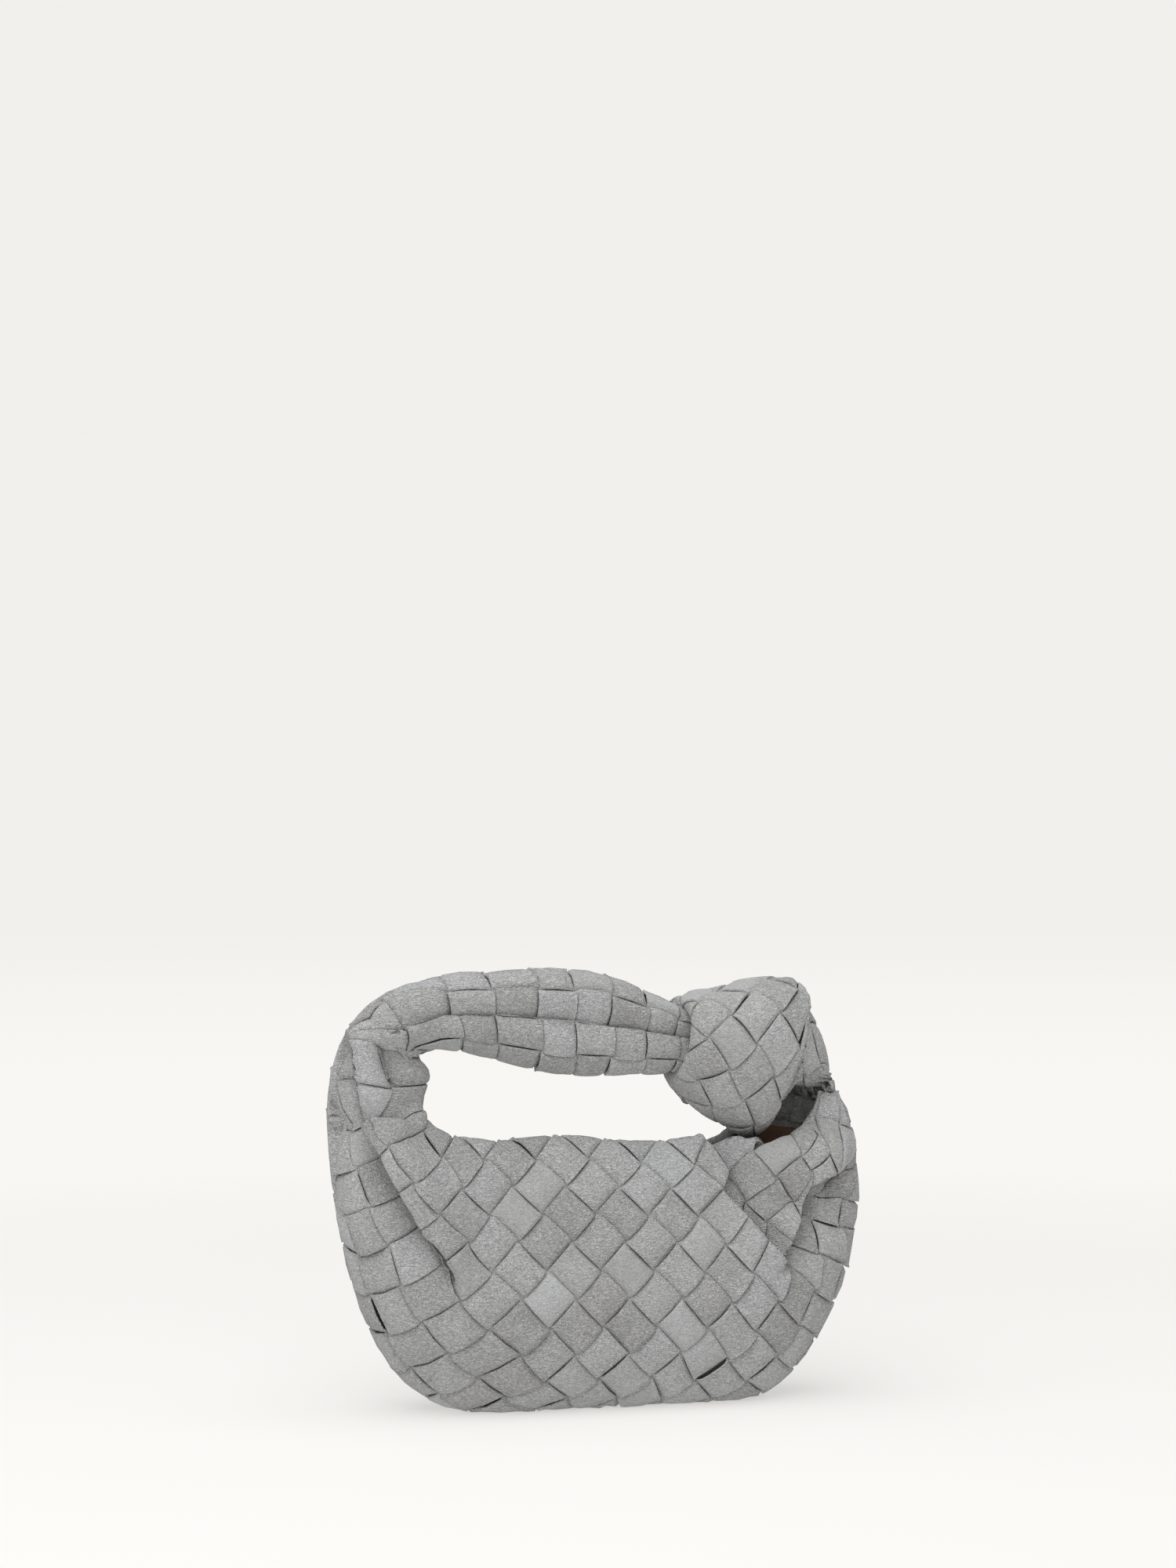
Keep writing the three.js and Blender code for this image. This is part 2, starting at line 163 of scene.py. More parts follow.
# Loops of the knot, from the strap's entry to the layer on the right. Columns: top x and z,
# lower end x and z, front and back depth.
KNOT = np.array([
    (36, 142, 33, 121, 11, 11),
    (33.5, 145, 30, 117, 18, 17),
    (36, 147.5, 33, 112, 23, 21),
    (45, 149, 41, 105.5, 27, 24),
    (55, 151.5, 50, 100, 28.5, 25.5),
    (66, 153.5, 58, 96, 27.5, 23),
    (75, 153, 64.5, 97, 25.5, 20),
    (79.5, 150.5, 71, 105, 24, 18),
    (81, 147, 75, 113, 20, 17),
    (82.5, 143, 79, 113.5, 16.5, 16),
    (85.5, 136.5, 84.5, 113.5, 12, 14),
    (88.5, 128, 87.5, 113, 8, 11),
    (90.3, 122.5, 89.5, 112.5, 4.5, 6.5),
    (89.6, 118, 88.5, 111, 4, 5.5),
    (87, 113, 86.3, 108.5, 3, 4),
])
# Where a loop is deepest, and how round it is above and below there and on the layer, which comes
# up between two loops
KNOT_MIDDLE = 0.55
KNOT_UPPER_ROUNDNESS = 2.5
KNOT_LOWER_ROUNDNESS = 1.75
LAYER_LOWER_ROUNDNESS = 3.2
LAYER_LOOPS = (6.5, 8)

# The surface is sampled on a grid: steps per rib along the bag with a margin at both ends, steps
# from keel to lip and the finer ones that even them out, and steps of a set length over the lip
# and down inside the mouth. The lip rolls over on a radius that is a share of its depth, between a
# least and a greatest one. A hem that stands up leans as the wall does this many steps below it.
STEPS_PER_RIB = 32
PLACE_MARGIN = 0.5
SECTION_STEPS = 160
FINE_STEPS = 400
LIP_STEPS = 48
LIP_STEP = 0.5
LIP_ROLL_SHARE, LEAST_LIP_ROLL, GREATEST_LIP_ROLL = 0.6, 0.2, 1.5
HEM_LEAN = 24

# The lattice of strip crossings. A crossing is numbered (a, b): a counts the strips that fall to
# the right on the front, and b those that rise to the right. Row b - a is 0 just under the front
# lip, and the keel is at row 11. At the two lower corners three strips meet in one point, and the
# front's outermost strip is joined to the back's there.
KEEL_ROW = 11
LIP_ROW = -0.78
LEFT_CORNER = (-7, 4)
RIGHT_CORNER = (-2, 9)
STRAP_LIP = -3
STRAP_FROM = -4
STRAP_STRAIGHT = -9
STRAP_TO = -19
NECK_STRIPS = 6
NECK_LENGTH = 11
MIDDLE_X = -6.0
COLUMN_PITCH = 10.0
STRIP_WIDTH = 14.5

# Crossings that the flap and the folds draw aside, as x, z on the front
DRAWN_CROSSINGS = {
    (-3, -4): (-68, 102), (-3, -3): (-62, 93),
    (-4, -2): (-66, 74), (-4, -3): (-75, 85), (-4, -4): (-83, 98), (-4, -5): (-88, 108),
    (-4, -6): (-79, 118), (-4, -7): (-84, 133),
    (-5, -2): (-72, 69), (-5, -3): (-79, 81), (-5, -4): (-85, 95), (-5, -5): (-91, 105),
    (-5, -6): (-93, 121), (-5, -7): (-93, 133),
    (-6, -2): (-83, 63), (-6, -3): (-89, 76), (-6, -4): (-93, 89), (-6, -5): (-95, 101),
    (-6, -6): (-97, 119), (-6, -7): (-95, 130),
    (2, 2): (34, 87), (2, 3): (43, 78), (2, 4): (51, 69), (2, 5): (58, 60), (2, 6): (66, 51),
    (3, 2): (40, 95), (3, 3): (46, 84), (3, 4): (52, 75), (3, 5): (59, 67), (3, 6): (67, 59),
    (3, 7): (79, 54), (4, 3): (55, 92), (4, 4): (62, 83), (4, 5): (69, 73), (4, 6): (70, 67),
    (4, 7): (78, 66), (4, 8): (88, 63), (5, 4): (71, 90), (5, 5): (74, 85), (5, 6): (74, 79),
    (5, 7): (79, 74), (5, 8): (91, 73), (6, 4): (80, 97), (6, 5): (82, 90), (6, 6): (84, 83),
    (6, 7): (91, 84), (6, 8): (96, 84),
}

# Crossings round the right neck, as place and share: its last rows and its outer edge on the front,
# and the places of its rows on the back, where the strips lie evenly
NECK_CROSSINGS = {
    (5, 9): (4.1, 0.0), (6, 9): (3.3, 0.0),
    (7, 4): (2.05, -1.1), (7, 5): (2.15, -0.93), (7, 6): (2.3, -0.64), (7, 7): (2.45, -0.37),
    (7, 8): (2.6, -0.15), (7, 9): (2.65, 0.0),
    (8, 4): (1.15, -1.1), (8, 5): (1.2, -0.93), (8, 6): (1.35, -0.64), (8, 7): (1.5, -0.37),
    (8, 8): (1.6, -0.15), (8, 9): (1.65, 0.0),
    (9, 4): (0.3, -1.1), (9, 5): (0.4, -0.93), (9, 6): (0.5, -0.64), (9, 7): (0.6, -0.37),
    (9, 8): (0.7, -0.15), (9, 9): (0.75, 0.0),
}
BACK_NECK_ROWS = {5: 4.1, 6: 3.3, 7: 2.5, 8: 1.6, 9: 0.7}

# Strips whose cut edge has rolled outwards: the edge's height on either side
ROLLED_EDGES = {
    (-5, -4): (2.6, 0), (-6, -6): (0, 1.6), (-5, -10): (1.8, 0), (-5, -12): (1.0, 0),
    (-5, -14): (1.6, 0), (3, 5): (1.6, 0), (2, 3): (0, 1.4), (4, 4): (1.2, 0),
    (1, 5): (1.8, 0), (2, 6): (1.6, 0), (-1, 5): (1.8, 0), (-2, 6): (0, 1.8),
    (0, 4): (1.2, 0),
}

# Depths below the outer skin: the pads' base, the strips below (painted dark as shade), and the
# lining, with the lining's slack in the folds, the steps by which it keeps off the pleats, and the
# ribs and the share that it reaches. Then the depth of the strips inside the right neck, and the
# shares past the lips up to which pads are laid and crossings are kept.
PAD_BASE = 1.0
BACKING_OUTER, BACKING_INNER = 1.7, 3.1
LINING_OUTER, LINING_INNER = 3.7, 4.7
LINING_SLACK = 2.0
LINING_REACH = 6
LINING_FROM, LINING_TO = 2.7, 20.0
LINING_TOP = 0.9
NECK_INSIDE = 3.8
LIP_PADS = 1.2
HEM_SHARE = 1.12

# The backing and the lining leave out rows and columns of the grid: one in so many is kept
POUCH_KEPT, HANDLE_KEPT = 2, 4
FRONT_KEPT, BACK_KEPT = 2, 5
LINING_ROWS_KEPT, LINING_COLUMNS_KEPT = 4, 2

# A crossing counts as folded where the pleats rise by this much over it, or past this share
FOLDED_RISE = 0.7
FOLDED_SHARE = 0.96


def smooth_rows(table, place):
    """Rows of a table at fractional places, on a smooth curve through its rows."""
    place = np.asarray(place, float)
    last = len(table) - 1
    i = np.clip(np.floor(place).astype(int), 0, last - 1)
    t = (place - i)[..., None]
    before, here = table[np.maximum(i - 1, 0)], table[i]
    after, beyond = table[i + 1], table[np.minimum(i + 2, last)]
    bend = 2 * before - 5 * here + 4 * after - beyond
    twist = 3 * here - before - 3 * after + beyond
    return 0.5 * (2 * here + (after - before) * t + bend * t**2 + twist * t**3)


def section_points(place, across):
    """Points of the unfolded bag for ribs (n, 1) and section shares (n or 1, m)."""
    rib = smooth_rows(RIBS, place[:, 0])
    column = lambda k: rib[:, k][:, None]
    front = across < 0
    lip_x = np.where(front, column(FRONT_X), column(BACK_X))
    lip_y = np.where(front, column(FRONT_Y), column(BACK_Y))
    lip_z = np.where(front, column(FRONT_Z), column(BACK_Z))
    depth = np.where(front, column(FRONT), column(BACK))
    belly, curl = column(BELLY), column(CURL)
    from_lip = 1 - np.abs(across)
    rest = np.cos(np.clip(from_lip / LIP_STEP_SHARE, 0, 1) * math.pi / 2)
    out = np.sin(np.clip((from_lip - LIP_STEP_SHARE) / (1 - LIP_STEP_SHARE), 0, 1) * math.pi / 2)
    upper = from_lip < LIP_STEP_SHARE
    along = np.where(upper, belly * (1 - rest), belly + (1 - belly) * out)
    upper_y = lip_y + (depth - lip_y) * np.maximum(1 - rest**curl, 0) ** (1 / curl)
    lower_y = depth * np.maximum(1 - out**KEEL_ROUNDNESS, 0) ** (1 / KEEL_ROUNDNESS)
    y = np.where(upper, upper_y, lower_y)
    x = lip_x + (column(KEEL_X) - lip_x) * along
    z = lip_z + (column(KEEL_Z) - lip_z) * along
    return np.stack([x, np.where(front, -y, y), z], -1)


def fold_height(points, side, slack=1.0):
    """Height of all folds at points, where side is -1 on the front and 1 on the back."""
    height = np.zeros(points.shape[:-1])
    flat = points[..., [0, 2]]
    for fold_side, start, middle, end, width, rise in FOLDS:
        distance = np.full(height.shape, np.inf)
        for a, b in ((start, middle), (middle, end)):
            a, b = np.array(a, float), np.array(b, float)
            t = np.clip(((flat - a) @ (b - a)) / ((b - a) @ (b - a)), 0, 1)
            nearest = a + t[..., None] * (b - a)
            distance = np.minimum(distance, np.linalg.norm(flat - nearest, axis=-1))
        spread = width * slack if rise < 0 else width / slack
        height += np.where(fold_side * side > 0, rise * np.exp(-((distance / spread) ** 2)), 0)
    return height


def pleat_moves(points):
    """Height of all pleats at points of the front, and how they draw these aside in x and z."""
    height = np.zeros(points.shape[:-1])
    flat = points[..., [0, 2]]
    shift = np.zeros(flat.shape)
    for line, rise, rise_width, drop, drop_width, tuck in PLEATS:
        line = np.array(line, float)
        nearest = np.full(height.shape, np.inf)
        run, side, start = np.zeros(height.shape), np.zeros(height.shape), 0.0
        towards = np.zeros(flat.shape)
        for a, b in zip(line[:-1], line[1:]):
            length = np.linalg.norm(b - a)
            along = (b - a) / length
            t = np.clip((flat - a) @ along, 0, length)
            offset = flat - a - t[..., None] * along
            distance = np.linalg.norm(offset, axis=-1)
            closer = distance < nearest
            left = np.sign(along[0] * offset[..., 1] - along[1] * offset[..., 0])
            nearest = np.where(closer, distance, nearest)
            side = np.where(closer, left, side)
            run = np.where(closer, start + t, run)
            upwards = left[..., None] * offset / np.maximum(distance, TINY)[..., None]
            towards = np.where(closer[..., None], upwards, towards)
            start += length
        step = np.clip(0.5 + 0.5 * side * nearest / PLEAT_EDGE, 0, 1)
        step = step * step * (3 - 2 * step)
        ends = np.clip(np.minimum(run, start - run) / PLEAT_FADE, 0, 1)
        ends = ends * ends * (3 - 2 * ends)
        over, under = np.exp(-((nearest / rise_width) ** 2)), np.exp(-((nearest / drop_width) ** 2))
        height += (rise * over * step - drop * under * (1 - step)) * ends
        aside = (under * (1 - step) - PLEAT_OVERHANG * over * step) * tuck * ends
        shift += towards * aside[..., None]
    return height, shift


def deepened(height, rounds):
    """A grid of heights with its valleys widened by some steps, and without its crests."""
    height = np.minimum(height, 0)
    for _ in range(rounds):
        padded = np.pad(height, 1, mode="edge")
        height = np.minimum.reduce([
            padded[1:-1, 1:-1],
            padded[:-2, 1:-1], padded[2:, 1:-1],
            padded[1:-1, :-2], padded[1:-1, 2:],
        ])
    return height


def grid_normals(points):
    """Normals of a grid of points, outwards for the bag's order of ribs and sections."""
    normal = np.cross(np.gradient(points, axis=0), np.gradient(points, axis=1))
    return normal / np.maximum(np.linalg.norm(normal, axis=-1, keepdims=True), TINIEST)


class BagSurface:
    """The bag's skin on a grid: place along the ribs, and share from front lip to back lip.

    Shares are even in length from the keel to each lip. Beyond a lip, at -1 or 1, the grid rolls
    over it and runs down inside the mouth.
    """

    SETTLE_ROUNDS = 6
    SETTLE_PLACE, SETTLE_SHARE = 0.5, 0.1

    def __init__(self, inset, slack=1.0, pleated=False, upright=False):
        """Sunk by an inset, with slack in the folds, pleated or not, its hem rolled or upright."""
        count = int(round((RIB_COUNT - 1 + 2 * PLACE_MARGIN) * STEPS_PER_RIB)) + 1
        self.place = -PLACE_MARGIN + np.arange(count) / STEPS_PER_RIB
        self.share = np.linspace(-1, 1, 2 * SECTION_STEPS + 1)
        fine = np.linspace(0, 1, FINE_STEPS)
        across = np.zeros((count, len(self.share)))
        for sign in (-1, 1):
            points = section_points(self.place[:, None], sign * np.maximum(fine, TINY)[None, :])
            steps = np.linalg.norm(np.diff(points, axis=1), axis=-1)
            length = np.concatenate([np.zeros((count, 1)), np.cumsum(steps, axis=1)], axis=1)
            half = self.share * sign >= 0
            for i in range(count):
                even = np.interp(np.abs(self.share[half]), length[i] / length[i, -1], fine)
                across[i, half] = sign * even
        skin = section_points(self.place[:, None], across)
        skin[:, SECTION_STEPS, 1] = 0
        side = np.sign(self.share)[None, :]
        lift = fold_height(skin, side, slack) - inset
        pleat, aside = pleat_moves(skin)
        pleat = np.where(side < 0, pleat, 0)
        outwards = grid_normals(skin)
        if pleated:
            lift = lift + pleat
            skin = skin + np.where(side < 0, 1, 0)[..., None] * np.insert(aside, 1, 0, axis=-1)
        elif slack > 1:
            lift = lift + deepened(pleat, LINING_REACH)
        skin = skin + outwards * lift[..., None]
        skin[..., 2] = np.maximum(skin[..., 2], inset)
        front, back = self.upright_hems(skin) if upright else self.lip_rolls(skin)
        self.points = np.concatenate([front[:, ::-1], skin, back], axis=1)
        self.normals = grid_normals(self.points)
        self.pleat = np.pad(pleat, ((0, 0), (LIP_STEPS, LIP_STEPS)), mode="edge")
        self.share_step = 1 / SECTION_STEPS
        self.first_share = -1 - LIP_STEPS * self.share_step
        self.along = np.gradient(self.points, 1 / STEPS_PER_RIB, axis=0)
        self.over = np.gradient(self.points, self.share_step, axis=1)
        steps = np.linalg.norm(np.diff(skin, axis=1), axis=-1)
        self.front_length = steps[:, :SECTION_STEPS].sum(axis=1)
        self.back_length = steps[:, SECTION_STEPS:].sum(axis=1)

    def lip_rolls(self, skin):
        """The grid's columns beyond the front lip and the back lip: over it and down its inside."""
        normals = grid_normals(skin)
        lip_y = smooth_rows(RIBS, self.place)[:, [FRONT_Y, BACK_Y]]
        row = np.arange(len(skin))
        rolls = []
        for k, order in enumerate((1, -1)):
            wall, facing = skin[:, ::order], normals[:, ::order].copy()
            facing[:, 0] = facing[:, 1]
            outward = wall[:, 0] - wall[:, 1]
            outward /= np.linalg.norm(outward, axis=-1, keepdims=True)
            half = wall[:, : SECTION_STEPS + 1]
            pitch = np.linalg.norm(np.diff(half, axis=1), axis=-1).mean(axis=1)
            radius = np.clip(LIP_ROLL_SHARE * lip_y[:, k], LEAST_LIP_ROLL, GREATEST_LIP_ROLL)
            columns = []
            for step in range(1, LIP_STEPS + 1):
                distance = step * LIP_STEP
                turn = np.minimum(distance / radius, math.pi)[:, None]
                down = np.maximum(distance - math.pi * radius, 0) / pitch
                i = down.astype(int)
                part = (down - i)[:, None]
                point = wall[row, i] * (1 - part) + wall[row, i + 1] * part
                normal = facing[row, i] * (1 - part) + facing[row, i + 1] * part
                roll = outward * np.sin(turn) - normal * (1 - np.cos(turn))
                columns.append(point + roll * radius[:, None])
            rolls.append(np.stack(columns, axis=1))
        return rolls

    def upright_hems(self, skin):
        """The columns beyond the lips as if the hem stood up, before it is rolled in."""
        distance = (np.arange(LIP_STEPS) + 1)[None, :, None] * LIP_STEP
        hems = []
        for wall in (skin, skin[:, ::-1]):
            upwards = wall[:, 0] - wall[:, HEM_LEAN]
            upwards /= np.linalg.norm(upwards, axis=-1, keepdims=True)
            hems.append(wall[:, :1] + upwards[:, None] * distance)
        return hems

    def look_up(self, field, place, share):
        """A grid field between its points."""
        x = np.clip((place - self.place[0]) * STEPS_PER_RIB, 0, field.shape[0] - LAST_CELL)
        y = np.clip((share - self.first_share) / self.share_step, 0, field.shape[1] - LAST_CELL)
        i, j = x.astype(int), y.astype(int)
        a, b = (x - i)[..., None], (y - j)[..., None]
        low = field[i, j] * (1 - a) + field[i + 1, j] * a
        high = field[i, j + 1] * (1 - a) + field[i + 1, j + 1] * a
        return low * (1 - b) + high * b

    def at(self, place, share):
        """Points of the skin."""
        return self.look_up(self.points, np.asarray(place, float), np.asarray(share, float))

    def slide(self, place, share, move):
        """The change of place and share that carries a point by a move along the skin."""
        along = self.look_up(self.along, place, share)
        over = self.look_up(self.over, place, share)
        aa, ab, bb = (along * along).sum(-1), (along * over).sum(-1), (over * over).sum(-1)
        x, y = (along * move).sum(-1), (over * move).sum(-1)
        area = np.maximum(aa * bb - ab * ab, TINY)
        return (bb * x - ab * y) / area, (aa * y - ab * x) / area

    def settle(self, target, place, share):
        """The place and share on the skin nearest to a target point."""
        for _ in range(self.SETTLE_ROUNDS):
            d_place, d_share = self.slide(place, share, target - self.at(place, share))
            d_place = np.clip(d_place, -self.SETTLE_PLACE, self.SETTLE_PLACE)
            d_share = np.clip(d_share, -self.SETTLE_SHARE, self.SETTLE_SHARE)
            place = np.clip(place + d_place, self.place[0], self.place[-1])
            share = np.clip(share + d_share, self.first_share, -self.first_share)
        return place, share

    def front_spot(self, x, z):
        """The place and share of the front's point at x, z, seen from the front."""
        front = self.points[:, LIP_STEPS : LIP_STEPS + SECTION_STEPS]
        distance = np.hypot(front[..., 0] - x, front[..., 2] - z)
        row, column = np.unravel_index(distance.argmin(), distance.shape)
        return float(self.place[row]), float(-1 + column * self.share_step)

    def past_lip(self, place, share):
        """Millimetres that a share lies past its lip, negative on the outside."""
        length = np.interp(place, self.place, self.front_length if share < 0 else self.back_length)
        past = abs(share) - 1
        return past * (LIP_STEP / self.share_step if past > 0 else length)

    def share_past_lip(self, place, side, past):
        """The share that lies some millimetres past the lip of a side."""
        length = np.interp(place, self.place, self.front_length if side < 0 else self.back_length)
        return side * (1 + past * (self.share_step / LIP_STEP if past > 0 else 1 / length))

    def to_grid(self, place, share):
        """Place and share as coordinates from 0 to 1 over the whole grid."""
        u = (np.asarray(place) - self.place[0]) / (self.place[-1] - self.place[0])
        v = (np.asarray(share) - self.first_share) / (-2 * self.first_share)
        return np.stack([u, v], -1)


def same_crossing(a, b):
    """The name of a crossing, one for both sides where front and back strips are joined."""
    if b == LEFT_CORNER[1] and a <= LEFT_CORNER[0]:
        return (LEFT_CORNER[0], a + KEEL_ROW)
    if a == RIGHT_CORNER[0] and b >= RIGHT_CORNER[1]:
        return (RIGHT_CORNER[0] + b - RIGHT_CORNER[1], RIGHT_CORNER[1])
    return (a, b)


def mirrored(a, b):
    """The crossing on the other side of the keel."""
    return (b - KEEL_ROW, a + KEEL_ROW)


def cell_corners(a, b):
    """The crossings at the left, the top, the right and the bottom of a cell on the front."""
    return [same_crossing(*k) for k in ((a, b), (a + 1, b), (a + 1, b + 1), (a, b + 1))]


def front_cells():
    """Cells of the lattice on the front, with the right neck."""
    cells = []
    for a in range(LEFT_CORNER[0], RIGHT_CORNER[0] + NECK_LENGTH):
        for b in range(STRAP_FROM, RIGHT_CORNER[1]):
            row = b - a
            neck = b >= RIGHT_CORNER[1] - NECK_STRIPS and a > 0
            if -1 <= row <= KEEL_ROW or (row < -1 and neck):
                cells.append((a, b))
    return cells


def strap_cells():
    """Cells of the lattice on the front of the left neck and the handle."""
    return [(a, b) for a in range(LEFT_CORNER[0], STRAP_LIP) for b in range(STRAP_TO, STRAP_FROM)]


class Lattice:
    """Crossings of the woven strips on the skin, grown from the middle of the front and relaxed."""

    SEED_COLUMNS, SEED_ROWS, SEED_REACH = 4, 10, 12
    SEED_PLACES = np.linspace(7.5, 17, 400)
    HELD_COLUMNS, HELD_ROWS = 3, 8
    PAST_LIP = 0.2
    NEAR_LIP = 0.55
    MISS = 0.6
    STRAP_MIDDLE = -0.5
    GROW_ROUNDS, FRONT_ROUNDS, WHOLE_ROUNDS, TURN_IN_ROUNDS = 40, 400, 900, 2
    DIAGONAL_STIFFNESS = 0.12
    RATE = 0.18
    LONGEST_MOVE, PLACE_MOVE, SHARE_MOVE = 3, 0.3, 0.06

    def __init__(self, skin, strip_width):
        self.skin = skin
        self.width = strip_width
        front = front_cells()
        self.front = [cell_corners(a, b) for a, b in front]
        self.drawn = {k: skin.front_spot(x, z) for k, (x, z) in DRAWN_CROSSINGS.items()}
        self.drawn.update(NECK_CROSSINGS)
        self.spots = {}
        self.seed()
        self.grow()
        front += strap_cells()
        self.front = [cell_corners(a, b) for a, b in front]
        self.lay_strap()
        self.spots.update(self.drawn)
        self.relax(self.front, self.FRONT_ROUNDS)
        for crossing, (place, share) in list(self.spots.items()):
            self.spots.setdefault(same_crossing(*mirrored(*crossing)), (place, -share))
        for a, place in BACK_NECK_ROWS.items():
            for b in range(RIGHT_CORNER[1] - NECK_STRIPS + 1, RIGHT_CORNER[1]):
                share = (RIGHT_CORNER[1] - b) / (NECK_STRIPS - 1)
                self.drawn[mirrored(a, b)] = self.spots[mirrored(a, b)] = (place, share)
        numbers = sorted(set(front) | {mirrored(a, b) for a, b in front})
        self.relax([cell_corners(a, b) for a, b in numbers], self.WHOLE_ROUNDS)
        for _ in range(self.TURN_IN_ROUNDS):
            self.turn_in(numbers)
        for crossing, (place, share) in self.spots.items():
            self.spots[crossing] = (place, float(np.clip(share, -HEM_SHARE, HEM_SHARE)))
        whole = lambda cell: all(k in self.spots for k in cell_corners(*cell))
        self.cells = [cell for cell in numbers if whole(cell)]

    def seed(self):
        """Crossings in the middle of the front, at even columns and rows."""
        places = self.SEED_PLACES
        for a in range(-self.SEED_REACH, self.SEED_REACH):
            for b in range(-self.SEED_REACH, self.SEED_REACH):
                column, row = a + b, b - a
                if abs(column) <= self.SEED_COLUMNS and 0 <= row <= self.SEED_ROWS:
                    share = -1 + (row - LIP_ROW) / (KEEL_ROW - LIP_ROW)
                    x = self.skin.at(places, np.full(len(places), share))[:, 0]
                    want = MIDDLE_X + COLUMN_PITCH * column
                    self.spots[(a, b)] = (float(np.interp(-want, -x, places)), share)

    def point(self, crossing):
        """The point of a crossing on the skin."""
        place, share = self.spots[crossing]
        return self.skin.at([place], [share])[0]

    def guesses(self, blocked):
        """Where the next crossings would lie, from cells with one corner missing or from lines."""
        found = {}
        for corners in self.front:
            missing = [j for j in range(4) if corners[j] not in self.spots]
            if len(missing) == 1 and corners[missing[0]] not in blocked:
                j = missing[0]
                before, across, after = (corners[(j + k) % 4] for k in (1, 2, 3))
                found.setdefault(corners[j], []).append((before, after, across))
        if found:
            return found
        for corners in self.front:
            for j in range(4):
                near, new = corners[j], corners[(j + 1) % 4]
                behind = (2 * near[0] - new[0], 2 * near[1] - new[1])
                known = near in self.spots and behind in self.spots
                if known and new not in self.spots and new not in blocked:
                    found.setdefault(new, []).append((near, near, behind))
        return found

    def grow(self):
        """Adds crossings outwards until the front is covered, relaxing after each round."""
        blocked = set()
        while True:
            found = self.guesses(blocked)
            if not found:
                return
            for crossing, triples in found.items():
                if crossing in self.drawn:
                    self.spots[crossing] = self.drawn[crossing]
                    continue
                points = [[self.point(k) for k in triple] for triple in triples]
                spots = [[np.array(self.spots[k]) for k in triple] for triple in triples]
                target = np.mean([p + q - r for p, q, r in points], 0)
                start = np.mean([p + q - r for p, q, r in spots], 0)
                place, share = self.skin.settle(target[None], start[:1], start[1:])
                miss = np.linalg.norm(self.skin.at(place, share)[0] - target)
                if miss > self.MISS * self.width or abs(share[0]) > 1 + self.PAST_LIP:
                    blocked.add(crossing)
                else:
                    self.spots[crossing] = (float(place[0]), float(share[0]))
            self.relax(self.front, self.GROW_ROUNDS)

    def lay_strap(self):
        """Crossings of the left neck and handle, in even rows from the last row of the front."""
        strips = range(LEFT_CORNER[0], STRAP_LIP + 1)
        place = np.mean([self.spots[(a, STRAP_FROM)][0] for a in strips[:-1]])
        for b in range(STRAP_FROM, STRAP_TO - 1, -1):
            for a in strips:
                share = (LEFT_CORNER[0] - a) / (STRAP_LIP - LEFT_CORNER[0])
                if (a, b) not in self.spots or self.on_strap((a, b)):
                    self.spots[(a, b)] = (place, share)
            middle = np.array([place]), np.array([self.STRAP_MIDDLE])
            along = self.skin.look_up(self.skin.along, *middle)
            place += self.width / np.linalg.norm(along)
            if place > self.skin.place[-1]:
                return

    def turn_in(self, numbers):
        """Adds crossings past the lips, where a strip turns over the edge into the mouth."""
        added = {}
        for number in numbers:
            corners = cell_corners(*number)
            missing = [j for j in range(4) if corners[j] not in self.spots]
            if len(missing) != 1:
                continue
            new, before, across, after = (corners[(missing[0] + k) % 4] for k in range(4))
            (p, s), (q, t), (r, w) = (self.spots[k] for k in (before, after, across))
            if min(abs(s), abs(t), abs(w)) < self.NEAR_LIP:
                continue
            past = self.skin.past_lip(p, s) + self.skin.past_lip(q, t) - self.skin.past_lip(r, w)
            place = float(np.clip(p + q - r, self.skin.place[0], self.skin.place[-1]))
            share = self.skin.share_past_lip(place, np.sign(s + t), past)
            added.setdefault(new, []).append((place, share))
        for crossing, spots in added.items():
            place, share = np.mean(spots, axis=0)
            share = np.clip(share, self.skin.first_share, -self.skin.first_share)
            self.spots[crossing] = (place, share)

    def on_strap(self, crossing):
        """Whether a crossing of the front keeps its share: on the strap, or on the neck's lip."""
        a, b = crossing
        on_lip = a == STRAP_LIP and b <= STRAP_FROM
        return on_lip or (LEFT_CORNER[0] <= a <= STRAP_LIP and b <= STRAP_STRAIGHT)

    def held(self, crossing):
        """Whether a crossing stays where it is."""
        a, b = crossing
        middle = abs(a + b) <= self.HELD_COLUMNS and 0 <= b - a <= self.HELD_ROWS
        return middle or crossing in self.drawn

